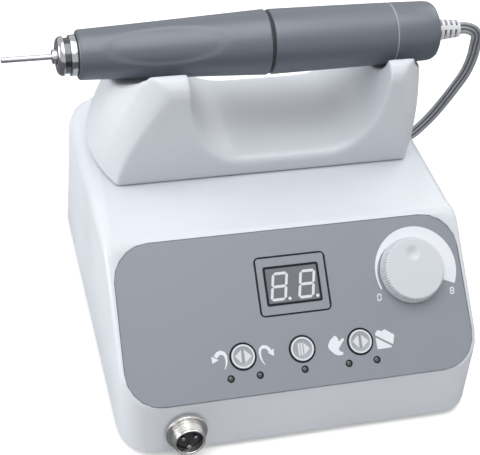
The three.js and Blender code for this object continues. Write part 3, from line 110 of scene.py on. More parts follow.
def makeCamera():
    azimuth, elevation = radians(cameraSet["azimuth"]), radians(cameraSet["elevation"])
    back = Vector((sin(azimuth) * cos(elevation), -cos(azimuth) * cos(elevation), sin(elevation)))
    right = (-back).cross(Vector((0, 0, 1))).normalized()
    up = right.cross(-back)
    roll = radians(cameraSet["roll"])
    turnedRight = cos(roll) * right + sin(roll) * up
    turnedUp = cos(roll) * up - sin(roll) * right
    camera = newObject("camera", bpy.data.cameras.new("camera"))
    camera.rotation_mode = "QUATERNION"
    camera.rotation_quaternion = Matrix((turnedRight, turnedUp, back)).transposed().to_quaternion()
    camera.location = Vector(cameraSet["aim"]) * mm + back * cameraSet["distance"] * mm
    camera.data.sensor_width = cameraSet["sensor"]
    camera.data.lens = cameraSet["lens"]
    camera.data.clip_start, camera.data.clip_end = cameraSet["clip"]
    bpy.context.scene.camera = camera
    return back


viewBack = makeCamera()
bpy.context.scene.view_settings.view_transform = "Standard"


# materials

def newNode(tree, kind, values=None, operation=None):
    node = tree.nodes.new("ShaderNode" + kind)
    if operation:
        node.operation = operation
    for socketName, value in (values or {}).items():
        node.inputs[socketName].default_value = value
    return node


def newMaterial(name):
    material = bpy.data.materials.new(name)
    material.use_nodes = True
    tree = material.node_tree
    shader = tree.nodes["Principled BSDF"]
    return material, tree, shader, newNode(tree, "TexCoord").outputs["Object"]


def mixColours(tree, a, b=None):
    mixed = newNode(tree, "Mix")
    mixed.data_type = "RGBA"
    for socketName, colour in (("A", a), ("B", b)):
        if colour:
            mixed.inputs[socketName].default_value = (*colour, 1)
    return mixed


def newGroup(name, inputs):
    # a group that puts out a height for the bump and a tone for colour and gloss
    group = bpy.data.node_groups.new(name, "ShaderNodeTree")
    for socketName, kind, value in inputs:
        socket = group.interface.new_socket(socketName, in_out="INPUT", socket_type=kind)
        if value is not None:
            socket.default_value = value
    for socketName in ("Height", "Tone"):
        group.interface.new_socket(socketName, in_out="OUTPUT", socket_type="NodeSocketFloat")
    return group, group.nodes.new("NodeGroupInput"), group.nodes.new("NodeGroupOutput")


skinSet = {
    "grain": 1800.0,            # per metre
    "grainDetail": 2.0,
    "blotch": 22.0,
    "blotchDetail": 3.0,
    "lines": 3000.0,
    "lineDetail": 3.0,
    "smudge": 90.0,
    "toneSpan": (0.3, 0.7),     # the tones that the gloss is spread over
    "bumpDepth": 0.0001,        # m
}


def makeMouldedSkin():
    # fine spark-eroded grain for the bump, slow blotches for tone and gloss
    group, ins, outs = newGroup("moulded skin", [
        ("Vector", "NodeSocketVector", None),
        ("Grain", "NodeSocketFloat", skinSet["grain"]),
        ("Blotch", "NodeSocketFloat", skinSet["blotch"]),
    ])
    grain = newNode(group, "TexNoise", {"Detail": skinSet["grainDetail"]})
    pits = newNode(group, "TexVoronoi")
    blotch = newNode(group, "TexNoise", {"Detail": skinSet["blotchDetail"]})
    for texture, scaleName in ((grain, "Grain"), (pits, "Grain"), (blotch, "Blotch")):
        group.links.new(ins.outputs["Vector"], texture.inputs["Vector"])
        group.links.new(ins.outputs[scaleName], texture.inputs["Scale"])
    add = newNode(group, "Math", operation="ADD")
    group.links.new(grain.outputs["Fac"], add.inputs[0])
    group.links.new(pits.outputs["Distance"], add.inputs[1])
    group.links.new(add.outputs[0], outs.inputs["Height"])
    group.links.new(blotch.outputs["Fac"], outs.inputs["Tone"])
    return group


def makeTurnedLines():
    # rings left by the lathe: noise drawn out round the axis, close along it
    group, ins, outs = newGroup("turned lines", [
        ("Vector", "NodeSocketVector", None),
        ("Along", "NodeSocketVector", (1.0, 0.0, 0.0)),
        ("Lines", "NodeSocketFloat", skinSet["lines"]),
    ])
    place = newNode(group, "VectorMath", operation="DOT_PRODUCT")
    lines = newNode(group, "TexNoise", {"Detail": skinSet["lineDetail"]})
    lines.noise_dimensions = "1D"
    smudge = newNode(group, "TexNoise", {"Scale": skinSet["smudge"]})
    group.links.new(ins.outputs["Vector"], place.inputs[0])
    group.links.new(ins.outputs["Along"], place.inputs[1])
    group.links.new(place.outputs["Value"], lines.inputs["W"])
    group.links.new(ins.outputs["Lines"], lines.inputs["Scale"])
    group.links.new(ins.outputs["Vector"], smudge.inputs["Vector"])
    group.links.new(lines.outputs["Fac"], outs.inputs["Height"])
    group.links.new(smudge.outputs["Fac"], outs.inputs["Tone"])
    return group


mouldedSkin = makeMouldedSkin()
turnedLines = makeTurnedLines()


def dressMaterial(name, group, metallic, low, high, rough, bumpStrength, more=None):
    material, tree, shader, vector = newMaterial(name)
    skin = newNode(tree, "Group")
    skin.node_tree = group
    tree.links.new(vector, skin.inputs["Vector"])
    ramp = mixColours(tree, low, high)
    tree.links.new(skin.outputs["Tone"], ramp.inputs["Factor"])
    tree.links.new(ramp.outputs["Result"], shader.inputs["Base Color"])
    gloss = newNode(tree, "MapRange")
    gloss.interpolation_type = "SMOOTHSTEP"
    for end, i in (("Min", 0), ("Max", 1)):
        gloss.inputs["From " + end].default_value = skinSet["toneSpan"][i]
        gloss.inputs["To " + end].default_value = rough[i]
    tree.links.new(skin.outputs["Tone"], gloss.inputs["Value"])
    tree.links.new(gloss.outputs["Result"], shader.inputs["Roughness"])
    bump = newNode(tree, "Bump", {"Strength": bumpStrength, "Distance": skinSet["bumpDepth"]})
    tree.links.new(skin.outputs["Height"], bump.inputs["Height"])
    tree.links.new(bump.outputs["Normal"], shader.inputs["Normal"])
    shader.inputs["Metallic"].default_value = metallic
    for socketName, value in (more or {}).items():
        node = skin if socketName in skin.inputs else shader
        node.inputs[socketName].default_value = value
    return material


# two tones of colour, roughness from and to, bump strength,
# and other values for the skin's inputs or the shader's
mouldedLooks = {
    "white shell": ((0.62, 0.65, 0.70), (0.67, 0.70, 0.745), (0.34, 0.44), 0.10),
    "panel film": (
        (0.235, 0.255, 0.295), (0.262, 0.282, 0.322), (0.36, 0.46), 0.06,
        {"Grain": 2600.0, "Blotch": 30.0},
    ),
    "panel ink": ((0.72, 0.75, 0.80), (0.80, 0.82, 0.86), (0.4, 0.5), 0.05),
    # also the painted shade in the gaps round the keys
    "black ink and gap shade": (
        (0.008, 0.009, 0.012), (0.014, 0.015, 0.02), (0.5, 0.6), 0.04,
        {"Specular IOR Level": 0.12},
    ),
    "window tint": (
        (0.125, 0.134, 0.158), (0.142, 0.152, 0.176), (0.2, 0.3), 0.02,
        {"Coat Weight": 0.2, "Coat Roughness": 0.1},
    ),
    "display segment": ((0.64, 0.66, 0.70), (0.74, 0.75, 0.78), (0.25, 0.35), 0.03),
    "key face": ((0.32, 0.34, 0.385), (0.36, 0.38, 0.42), (0.34, 0.44), 0.05),
    # the rim's light tone is a painted highlight
    "painted rim highlight": ((0.66, 0.69, 0.74), (0.74, 0.77, 0.81), (0.3, 0.4), 0.04),
    "lamp lens": ((0.035, 0.045, 0.042), (0.06, 0.07, 0.066), (0.12, 0.22), 0.02, {"Coat Weight": 0.5}),
    "knob plastic": ((0.57, 0.60, 0.64), (0.63, 0.66, 0.70), (0.38, 0.48), 0.08),
    "black plastic": ((0.018, 0.018, 0.02), (0.03, 0.03, 0.033), (0.42, 0.55), 0.16),
    "rubber": ((0.022, 0.022, 0.024), (0.04, 0.04, 0.042), (0.7, 0.85), 0.3, {"Grain": 1200.0}),
    "handpiece grey": (
        (0.074, 0.087, 0.114), (0.090, 0.104, 0.132), (0.40, 0.48), 0.05,
        {"Grain": 3200.0, "Specular IOR Level": 0.95},
    ),
    "relief grey": ((0.66, 0.67, 0.70), (0.73, 0.74, 0.77), (0.45, 0.6), 0.1),
    "cord sheath": ((0.27, 0.28, 0.305), (0.32, 0.33, 0.355), (0.22, 0.32), 0.06),
    "tie fabric": ((0.012, 0.012, 0.014), (0.05, 0.05, 0.055), (0.85, 0.95), 0.9, {"Grain": 900.0}),
    "circuit board": ((0.012, 0.09, 0.035), (0.02, 0.13, 0.05), (0.3, 0.45), 0.1),
}
turnedLooks = {
    "core laminations": (
        (0.07, 0.07, 0.075), (0.12, 0.12, 0.125), (0.4, 0.55), 0.5,
        {"Along": (0.0, 1.0, 0.0), "Lines": 1400.0, "Metallic": 0.7},
    ),
    "extruded aluminium": ((0.52, 0.53, 0.55), (0.66, 0.67, 0.69), (0.28, 0.42), 0.15),
    "copper winding": ((0.45, 0.17, 0.07), (0.62, 0.26, 0.11), (0.25, 0.4), 0.6),
    "polished chrome": ((0.36, 0.37, 0.39), (0.45, 0.46, 0.48), (0.12, 0.2), 0.03),
    "turned steel": ((0.40, 0.40, 0.42), (0.50, 0.50, 0.52), (0.2, 0.34), 0.12),
    # painted shade in the nose's groove
    "groove shade steel": ((0.085, 0.087, 0.092), (0.13, 0.132, 0.138), (0.14, 0.24), 0.05),
    "nickel": ((0.58, 0.57, 0.55), (0.72, 0.71, 0.69), (0.14, 0.26), 0.06, {"Along": (0.0, -0.986, 0.168)}),
}
materials = {name: dressMaterial(name, mouldedSkin, 0.0, *look) for name, look in mouldedLooks.items()}
materials.update({name: dressMaterial(name, turnedLines, 1.0, *look) for name, look in turnedLooks.items()})
paintedGrooveShade = (0.03, 0.032, 0.038)


def paintGrooveShade(material):
    # painted shade: the cord's colour is darkened in its grooves, following the crown attribute
    tree = material.node_tree
    shader = tree.nodes["Principled BSDF"]
    plain = shader.inputs["Base Color"].links[0].from_socket
    crown = newNode(tree, "Attribute")
    crown.attribute_name = "crown"
    mixed = mixColours(tree, paintedGrooveShade)
    tree.links.new(plain, mixed.inputs["B"])
    tree.links.new(crown.outputs["Fac"], mixed.inputs["Factor"])
    tree.links.new(mixed.outputs["Result"], shader.inputs["Base Color"])


paintGrooveShade(materials["cord sheath"])
print("materials:", len(materials))


# making pieces

placeSet = {                # mm and degrees
    "unit": (10.2, -74.964, 0),     # the unit's own frame, y 0 at the panel's lower edge
    "panel": (0, 0, 26),
    "panelSlope": 37,
    "hand": (0, 113.5, 117.6),
    "lip": (-51.4, -2.298, 12.5),
    "lipSlope": 80.34,
}
cornerReach = 0.49          # share of a side that a rounded corner takes at most
fullTurn = 2 * pi


def tilted(place, slope):
    return Matrix.Translation(place) @ Matrix.Rotation(radians(slope), 4, "X")


toMetres = Matrix.Scale(mm, 4)
unitPlace = Matrix.Translation(placeSet["unit"])
panelPlace = unitPlace @ tilted(placeSet["panel"], placeSet["panelSlope"])
handPlace = unitPlace @ Matrix.Translation(placeSet["hand"])
lipPlace = unitPlace @ tilted(placeSet["lip"], placeSet["lipSlope"])


def meshOf(bm, name):
    mesh = bpy.data.meshes.new(name)
    bm.to_mesh(mesh)
    bm.free()
    return mesh


def faceOut(bm):
    bmesh.ops.recalc_face_normals(bm, faces=bm.faces)
    return bm


def finishPiece(bm, name, body, look, sharp=35, place=None, node=None):
    # bm, in mm, becomes a piece at the origin, shaded smooth up to the sharp angle
    if place is not None:
        bmesh.ops.transform(bm, matrix=place, verts=bm.verts)
    bmesh.ops.transform(bm, matrix=toMetres, verts=bm.verts)
    mesh = meshOf(bm, name)
    mesh.materials.append(materials[look])
    mesh.shade_smooth()
    mesh.set_sharp_from_angle(angle=radians(sharp))
    piece = newObject(name, mesh)
    if body:
        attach(piece, body)
    if node:
        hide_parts(node)
    return piece


def softEdges(piece, width, segments=2, angle=35):
    bevel = piece.modifiers.new("edges", "BEVEL")
    bevel.width = width * mm
    bevel.segments = segments
    bevel.limit_method = "ANGLE"
    bevel.angle_limit = radians(angle)
    bevel.harden_normals = True
    return piece


def cadCopy(node, weld=0.004, flat=0.4):
    # the node's solid in mm, welded within weld and with faces joined that turn by less than flat degrees
    bm = bmesh.new()
    bm.from_mesh(cadNodes[node].data)
    bmesh.ops.transform(bm, matrix=Matrix.Scale(1 / mm, 4), verts=bm.verts)
    bmesh.ops.remove_doubles(bm, verts=bm.verts, dist=weld)
    bmesh.ops.dissolve_limit(bm, angle_limit=radians(flat), verts=bm.verts, edges=bm.edges)
    return bm


def refined(node, name, look, width=0.25, sharp=35):
    # a CAD node's own form with softened edges and smooth rounds
    body = body_of(cadNodes[node])[0]
    piece = finishPiece(cadCopy(node), name, body, look, sharp, node=node)
    return softEdges(piece, width)


def cornered(points, steps=4):
    # a line of (along, radius, round) points with each corner rounded by its own amount
    line = []
    for i, point in enumerate(points):
        rounding = point[2] if len(point) > 2 else 0
        here = Vector(point[:2])
        if not rounding or i in (0, len(points) - 1):
            line.append(here)
            continue
        before = Vector(points[i - 1][:2]) - here
        after = Vector(points[i + 1][:2]) - here
        reach = min(rounding, before.length * cornerReach, after.length * cornerReach)
        first, last = here + before.normalized() * reach, here + after.normalized() * reach
        for step in range(steps + 1):
            t = step / steps
            line.append((1 - t) ** 2 * first + 2 * t * (1 - t) * here + t ** 2 * last)
    return line


def turnInto(bm, points, axis="X", steps=96, closed=False, rounding=4, angle=fullTurn, begin=0):
    # spins a line of (along, radius, round) points round X or Z and adds it to bm
    line = cornered(points, rounding)
    if axis == "X":
        spot, turnAxis = (lambda p: (p.x, 0, p.y)), (1, 0, 0)
    else:
        spot, turnAxis = (lambda p: (p.y, 0, p.x)), (0, 0, 1)
    verts = [bm.verts.new(spot(p)) for p in line]
    edges = [bm.edges.new(pair) for pair in zip(verts, verts[1:])]
    if closed:
        edges.append(bm.edges.new((verts[-1], verts[0])))
    if begin:
        bmesh.ops.rotate(bm, verts=verts, cent=(0, 0, 0), matrix=Matrix.Rotation(begin, 3, turnAxis))
    bmesh.ops.spin(
        bm, geom=verts + edges, cent=(0, 0, 0), axis=turnAxis, angle=angle, steps=steps,
        use_merge=angle == fullTurn,
    )
    return bm


def closeUp(bm, merge=1e-4):
    bmesh.ops.remove_doubles(bm, verts=bm.verts, dist=merge)
    return faceOut(bm)


def turned(points, axis="X", steps=96, closed=False, rounding=4):
    return closeUp(turnInto(bmesh.new(), points, axis, steps, closed, rounding))


def drawUp(bm, faces, height):
    raised = bmesh.ops.extrude_face_region(bm, geom=faces)["geom"]
    verts = [v for v in raised if isinstance(v, bmesh.types.BMVert)]
    bmesh.ops.translate(bm, vec=(0, 0, height), verts=verts)


def plates(outlines, low, high):
    # flat outlines drawn up into plates, from one height to another
    bm = bmesh.new()
    for outline in outlines:
        face = bm.faces.new([bm.verts.new((x, y, low)) for x, y in outline])
        drawUp(bm, [face], high - low)
    return faceOut(bm)


def arc(x, y, radius, start, end, steps=24):
    return [(x + cos(radians(start + (end - start) * i / steps)) * radius,
             y + sin(radians(start + (end - start) * i / steps)) * radius) for i in range(steps + 1)]


def roundedBox(x, y, width, height, corner, steps=6):
    w, h = width / 2 - corner, height / 2 - corner
    outline = []
    for cx, cy, start in ((w, h, 0), (-w, h, 90), (-w, -h, 180), (w, -h, 270)):
        outline += arc(x + cx, y + cy, corner, start, start + 90, steps)
    return outline


def band(outline, width, low, high):
    # a flat frame: the outline's face inset, its middle taken out, the rim drawn up
    bm = bmesh.new()
    middle = bm.faces.new([bm.verts.new((x, y, low)) for x, y in outline])
    bm.normal_update()
    rim = bmesh.ops.inset_individual(bm, faces=[middle], thickness=width, use_even_offset=True)["faces"]
    bmesh.ops.delete(bm, geom=[middle], context="FACES_ONLY")
    drawUp(bm, rim, high - low)
    return faceOut(bm)


def ringAt(x, y, outer, inner, low, high, steps=48):
    bm = turned([(low, inner), (low, outer), (high, outer), (high, inner)], "Z", steps, closed=True)
    bmesh.ops.translate(bm, vec=(x, y, 0), verts=bm.verts)
    return bm


def joinInto(bm, other):
    # adds another bmesh to bm and frees it
    mesh = meshOf(other, "part")
    bm.from_mesh(mesh)
    bpy.data.meshes.remove(mesh)
    return bm


def remeshed(bm, voxel, rounds, factor=0.5):
    # one even skin over bm, with its edges and flats eased
    mesh = meshOf(bm, "skin")
    holder = newObject("skin", mesh)
    skin = holder.modifiers.new("skin", "REMESH")
    skin.mode = "VOXEL"
    skin.voxel_size = voxel
    made = bmesh.new()
    made.from_object(holder, bpy.context.evaluated_depsgraph_get())
    bpy.data.objects.remove(holder)
    bpy.data.meshes.remove(mesh)
    for _ in range(rounds):
        bmesh.ops.smooth_vert(
            made, verts=made.verts, factor=factor, use_axis_x=True, use_axis_y=True, use_axis_z=True,
        )
    return made


def smoothStep(value):
    t = min(max(value, 0), 1)
    return t * t * (3 - 2 * t)


# cord: three fused cores, from the strain relief to the coil and the plug

cordSet = {
    "coreRadius": 1.0,      # mm
    "corePitch": 1.6,
    "outerSteps": 12,       # points round an outer core
    "middleSteps": 6,       # and on each side of the middle one
    "crownShare": 0.5,      # of the core's radius, from the painted shade in a groove to full colour
    "length": 1.231,        # m, exit to plug
    "route": [              # mm, as in the source's cord
        (89.3, 113.5, 117.6), (92.5, 113.5, 117.6), (96.9, 114, 115.6), (100.3, 115.6, 111.2),
        (102.4, 118.4, 104.8), (106, 124.5, 92), (108.6, 131.5, 78), (109.9, 139.5, 63.4),
        (110, 146.5, 49.4), (109.2, 152.5, 36.6), (107.6, 157.6, 25.6), (104.8, 161.8, 16),
        (99.6, 164.8, 8.8), (91.5, 166, 4.6), (81.6, 165.6, 3), (70, 165.1, 2.8),
        (54, 165, 2.8), (36, 165, 2.8), (18, 165, 3),
    ],
    "lead": (15.6, 5.5),    # mm from the coil's middle, the last two places before it
    "coil": {
        "x": -21, "y": 200, "outer": 35, "pitch": 5.6, "lift": 3.9,
        "layer": 3, "leftOff": 0.25, "points": 48,      # turns in a layer, turns left off, points in a turn
    },
    "climb": (0.25, 0.5),   # turns: where it starts before the second layer, and how long it takes
    "tailBend": 16,
    "tailSteps": 12,
    "tailRun": 4,
    "plugHeight": 8.5,
    "twist": 30,            # degrees, at most, where it hangs free
    "twistOver": (0.04, 0.4),   # shares of the free run: start and length of the twist
    "lieOver": (0.55, 0.2),     # and of its turn on to its edge
    "steps": 5,             # points between two of the route
}


def throughPoints(points, steps):
    # points on one smooth line through the given ones
    line = []
    for i in range(len(points) - 1):
        a, b = points[max(i - 1, 0)], points[i]
        c, d = points[i + 1], points[min(i + 2, len(points) - 1)]
        for step in range(steps):
            t = step / steps
            line.append(0.5 * (
                2 * b + (c - a) * t
                + (2 * a - 5 * b + 4 * c - d) * t ** 2
                + (3 * b - a - 3 * c + d) * t ** 3
            ))
    line.append(points[-1])
    return line


def cordPath():
    coil = cordSet["coil"]
    front = coil["y"] - coil["outer"]
    free = [Vector(p) for p in cordSet["route"]]
    free += [Vector((coil["x"] + before, front, coil["lift"])) for before in cordSet["lead"]]
    line = throughPoints(free, cordSet["steps"])
    turns = 2 * coil["layer"]
    climbEarly, climbLong = cordSet["climb"]
    for i in range(int((turns - coil["leftOff"]) * coil["points"]) + 1):
        turn = i / coil["points"]
        radius = coil["outer"] - coil["pitch"] * min(turn, turns - turn)
        climb = smoothStep((turn - (coil["layer"] - climbEarly)) / climbLong)
        angle = -pi / 2 - turn * 2 * pi
        x, y = coil["x"] + cos(angle) * radius, coil["y"] + sin(angle) * radius
        line.append(Vector((x, y, coil["lift"] + coil["pitch"] * climb)))
    bend = cordSet["tailBend"]
    tailX = coil["x"] + coil["outer"] - coil["pitch"] * coil["leftOff"] + bend
    high = coil["lift"] + coil["pitch"]
    for i in range(1, cordSet["tailSteps"] + 1):        # off the coil's side, round to the plug
        turn = pi / 2 * i / cordSet["tailSteps"]
        drop = (cordSet["plugHeight"] - high) * smoothStep(i / cordSet["tailSteps"])
        line.append(Vector((tailX - bend * cos(turn), coil["y"] - bend * sin(turn), high + drop)))
    line.append(Vector((tailX + cordSet["tailRun"], coil["y"] - bend, cordSet["plugHeight"])))
    return [p + Vector(placeSet["unit"]) for p in line], len(free) * cordSet["steps"]


def coreSection():
    # the outline of three cores side by side, in the cord's own plane
    r, pitch = cordSet["coreRadius"], cordSet["corePitch"]
    meet = acos(-pitch / 2 / r)
    outline = []
    outerSteps, middleSteps = cordSet["outerSteps"], cordSet["middleSteps"]
    for centre, start, end, count in (
        (pitch, -meet, meet, outerSteps),
        (0, pi - meet, meet, middleSteps),
        (-pitch, pi - meet, pi + meet, outerSteps),
        (0, 2 * pi - meet, pi + meet, middleSteps),
    ):
        for i in range(count):
            angle = start + (end - start) * i / count
            outline.append((centre + cos(angle) * r, sin(angle) * r))
    return outline


def crownOf(x):
    # 0 down in a groove between two cores, 1 on top of a core; it masks the painted groove shade
    reach = cordSet["crownShare"] * cordSet["coreRadius"]
    return min(abs(abs(x) - cordSet["corePitch"] / 2), reach) / reach


def cordTube(path, freeCount):
    section = coreSection()
    bm = bmesh.new()
    crown = bm.verts.layers.float.new("crown")
    twistFrom, twistLong = cordSet["twistOver"]
    lieFrom, lieLong = cordSet["lieOver"]
    rings = []
    for i, point in enumerate(path):
        along = (path[min(i + 1, len(path) - 1)] - path[max(i - 1, 0)]).normalized()
        flat = along.cross(viewBack).normalized()
        edge = along.cross(flat)
        share = i / freeCount
        turn = radians(cordSet["twist"]) * sin(pi * min(max((share - twistFrom) / twistLong, 0), 1))
        wide = cos(turn) * flat + sin(turn) * edge
        upright = Vector((0, 0, 1)) - along * along.z
        if upright.dot(wide) < 0:
            upright = -upright
        lie = smoothStep((share - lieFrom) / lieLong)
        if upright.length > 1e-3:
            wide = (wide * (1 - lie) + upright.normalized() * lie).normalized()
        thick = wide.cross(along).normalized()
        wide = along.cross(thick).normalized()
        rings.append([bm.verts.new(point + wide * x + thick * y) for x, y in section])
        # the crown value places the painted shade in the grooves
        for vert, (x, _) in zip(rings[-1], section):
            vert[crown] = crownOf(x)
    for low, high in zip(rings, rings[1:]):
        for a in range(len(section)):
            b = (a + 1) % len(section)
            bm.faces.new((low[a], low[b], high[b], high[a]))
    bm.faces.new(rings[0])
    bm.faces.new(list(reversed(rings[-1])))
    return faceOut(bm)


path, freeCount = cordPath()
pathLength = sum((b - a).length for a, b in zip(path, path[1:])) * mm
print("cord path", round(pathLength, 4), "m")
cord = finishPiece(cordTube(path, freeCount), "cordSheath", None, "cord sheath", sharp=80)
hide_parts("cord_free", "cord_coil")
exitPoint = path[0] * mm
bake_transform(cord, "control_unit", "handpiece", start=(exitPoint.x, exitPoint.y, 0.006), end=tuple(exitPoint))


# housing, base, feet

housingSet = {"edge": 0.35, "baseEdge": 0.3, "footEdge": 0.4}

refined("upper_housing", "housingShell", "white shell", housingSet["edge"], 30)
refined("base_plate", "basePlate", "white shell", housingSet["baseEdge"])
for i in range(1, 5):
    refined(f"rubber_foot_{i}", f"foot{i}", "rubber", housingSet["footEdge"])
print("housing, base and feet")


# cradle: one soft-edged moulding

cradleSet = {"voxel": 0.8, "smoothing": 6}

finishPiece(
    remeshed(cadCopy("handpiece_cradle"), cradleSet["voxel"], cradleSet["smoothing"]),
    "cradleMoulding", "control_unit", "white shell", 80, node="handpiece_cradle",
)
print("cradle")


# front panel with its printed marks

panelSet = {
    "edge": 0.2,
    "printHeights": (-0.02, 0.05),              # mm, a print's underside and its top
    "keys": (-25.8, -0.5, 24.8),
    "keyUp": 16.1,
    "keyGapShadeRing": (5.75, 5.02, -0.9, 0.13, 64),    # outer, inner, low, high, steps
    "lamps": (-31.95, -19.65, -0.5, 18.65, 30.95),
    "lampUp": 7.7,
    "lampRing": (1.55, 1.2, -0.9, 0.06, 32),
    "knob": (52, 43.3),
    "crescentOuter": (54.2, 43.6, 18.2),        # centre and radius
    "crescentInner": (50.5, 42.6, 13.7),
    "crescentFrom": (-26, -17),                 # degrees at the cut, outer and inner
    "crescentTo": (204, 203),                   # at the thin end
    "crescentSteps": 72,
    "numbers": ((36.1, 33.4), (68.9, 32.6)),
    "numberSize": (2.0, 3.1, 0.5, 0.04, 0.1),   # width, height, stroke, gap, lean
    # turn arrows: centre line, its widths, then the head
    "turnBack": (
        [(-34.1, 11.7), (-33.2, 13.4), (-32.8, 15.2), (-32.9, 17.0), (-33.6, 18.3), (-34.9, 18.8),
         (-36.2, 18.4), (-37.3, 17.1)],
        [0.2, 0.6, 0.9, 1.2, 1.5, 1.8, 1.8, 1.6],
        [(-39.0, 17.7), (-38.8, 14.7), (-36.1, 15.9)],
    ),
    "turnOn": (
        [(-17.0, 11.6), (-18.0, 13.3), (-18.5, 15.1), (-18.6, 16.9), (-18.1, 18.3), (-17.0, 19.0),
         (-15.7, 18.8), (-14.7, 17.9), (-14.2, 16.9)],
        [0.2, 0.6, 0.8, 1.0, 1.2, 1.4, 1.4, 1.4, 1.4],
        [(-12.6, 17.8), (-12.8, 14.7), (-15.2, 16.3)],
    ),
    "hand": [
        (10.6, 15.9), (11.8, 18.1), (14.0, 19.8), (14.7, 19.5), (15.5, 18.2), (15.5, 17.1),
        (17.4, 18.5), (18.0, 17.7), (16.5, 16.0), (15.3, 14.5), (15.1, 13.8), (15.7, 13.0),
        (16.8, 12.7), (16.7, 11.5), (14.5, 11.5), (13.1, 12.2), (11.8, 13.5), (10.9, 14.7),
    ],
    "pedalTop": [
        (31.8, 18.6), (33.0, 19.9), (34.9, 19.2), (36.2, 19.9), (40.1, 17.1), (39.0, 13.2), (31.8, 17.8),
    ],
    "pedalSide": [(31.7, 16.9), (38.3, 12.6), (38.1, 12.0), (31.9, 11.9)],
}


def strokeOutline(points, widths):
    # a stroke through points, each with its own width
    left, right = [], []
    for i, point in enumerate(points):
        ahead = Vector(points[min(i + 1, len(points) - 1)]) - Vector(points[max(i - 1, 0)])
        side = Vector((-ahead.y, ahead.x)).normalized() * widths[i] / 2
        left.append(tuple(Vector(point) + side))
        right.append(tuple(Vector(point) - side))
    return left + right[::-1]


def crescentOutline():
    # thin at the low end, broad at the high end, with a straight cut; its inner edge runs under the knob
    x, y, radius = panelSet["crescentOuter"]
    innerX, innerY, innerRadius = panelSet["crescentInner"]
    start, end = panelSet["crescentTo"], panelSet["crescentFrom"]
    steps = panelSet["crescentSteps"]
    outer = arc(x, y, radius, start[0], end[0], steps)
    return outer + arc(innerX, innerY, innerRadius, end[1], start[1], steps)


def digitOutlines(x, up, number, size):
    # the strokes of a plain seven-segment number, mitred where they meet
    width, height, thick, gap, lean = size
    strokes = {
        "a": (0, 2, 1, 2), "b": (1, 2, 1, 1), "c": (1, 1, 1, 0), "d": (0, 0, 1, 0),
        "e": (0, 1, 0, 0), "f": (0, 2, 0, 1), "g": (0, 1, 1, 1),
    }
    lit = {"0": "abcdef", "8": "abcdefg"}[number]
    outlines = []
    for name in lit:
        x0, y0, x1, y1 = strokes[name]
        a = Vector(((x0 - 0.5) * (width - thick), (y0 / 2 - 0.5) * (height - thick)))
        b = Vector(((x1 - 0.5) * (width - thick), (y1 / 2 - 0.5) * (height - thick)))
        along = (b - a).normalized()
        side = Vector((-along.y, along.x)) * thick / 2
        a, b = a + along * gap, b - along * gap
        mitre = along * thick / 2
        shape = [a, a + mitre + side, b - mitre + side, b, b - mitre - side, a + mitre - side]
        outlines.append([(x + p.x + p.y * lean, up + p.y) for p in shape])
    return outlines


def onUnit(bm, name, look, place=panelPlace, node=None):
    return finishPiece(bm, name, "control_unit", look, place=place, node=node)


refined("front_panel", "panelPlate", "panel film", panelSet["edge"])
marks = [crescentOutline()]
for line, widths, head in (panelSet["turnBack"], panelSet["turnOn"]):
    marks += [strokeOutline(line, widths), head]
marks += [panelSet["hand"], panelSet["pedalTop"], panelSet["pedalSide"]]
for (x, up), number in zip(panelSet["numbers"], "08"):
    marks += digitOutlines(x, up, number, panelSet["numberSize"])
onUnit(plates(marks, *panelSet["printHeights"]), "panelPrint", "panel ink")
# the black rings round the keys are painted shade, standing for the gap round each key
rings = bmesh.new()
for x in panelSet["keys"]:
    joinInto(rings, ringAt(x, panelSet["keyUp"], *panelSet["keyGapShadeRing"]))
for x in panelSet["lamps"]:
    joinInto(rings, ringAt(x, panelSet["lampUp"], *panelSet["lampRing"]))
onUnit(rings, "panelRings", "black ink and gap shade")
print("front panel")


# display: body, outline, inner frame, pane and two digits

displaySet = {
    "centre": (-0.6, 43.2),
    "outer": (30.4, 24.7, 1.7),         # width, height, corner
    "depth": 1,
    "edge": 0.15,
    "line": 0.55,
    "inner": (24.0, 16.4, 0.9),
    "frame": 0.95,
    "frameHeights": (-0.02, 0.14),
    "paneGap": 0.4,
    "paneCorner": 0.7,
    "paneHeights": (-0.02, 0.04),
    "digits": ((-6.4, 42.8), (5.5, 42.7)),
    "digit": (7.0, 11.9, 1.15, 0.12, 0.19),     # width, height, stroke, gap, lean
    "points": ((-2.6, 37.4), (9.5, 37.3)),
    "pointRadius": 0.7,
    "pointSides": 16,
    "litHeights": (0.03, 0.08),
}


def makeDisplay():
    x, up = displaySet["centre"]
    outer = roundedBox(x, up, *displaySet["outer"])
    body = plates([outer], -displaySet["depth"], 0)
    body = onUnit(body, "displayBody", "panel film", node="display_window")
    softEdges(body, displaySet["edge"])
    frames = band(outer, displaySet["line"], *panelSet["printHeights"])
    inner = roundedBox(x, up, *displaySet["inner"])
    joinInto(frames, band(inner, displaySet["frame"], *displaySet["frameHeights"]))
    onUnit(frames, "displayFrame", "black ink and gap shade")
    width, height, _ = displaySet["inner"]
    gap, corner = displaySet["paneGap"], displaySet["paneCorner"]
    pane = plates([roundedBox(x, up, width - gap, height - gap, corner)], *displaySet["paneHeights"])
    onUnit(pane, "displayPane", "window tint")
    lit = []
    for digitX, digitUp in displaySet["digits"]:
        lit += digitOutlines(digitX, digitUp, "8", displaySet["digit"])
    last = displaySet["pointSides"] - 1
    for pointX, pointUp in displaySet["points"]:
        lit.append(arc(pointX, pointUp, displaySet["pointRadius"], 0, 360 * last / (last + 1), last))
    onUnit(plates(lit, *displaySet["litHeights"]), "displayDigits", "display segment")


makeDisplay()
print("display")


# keys and lamps

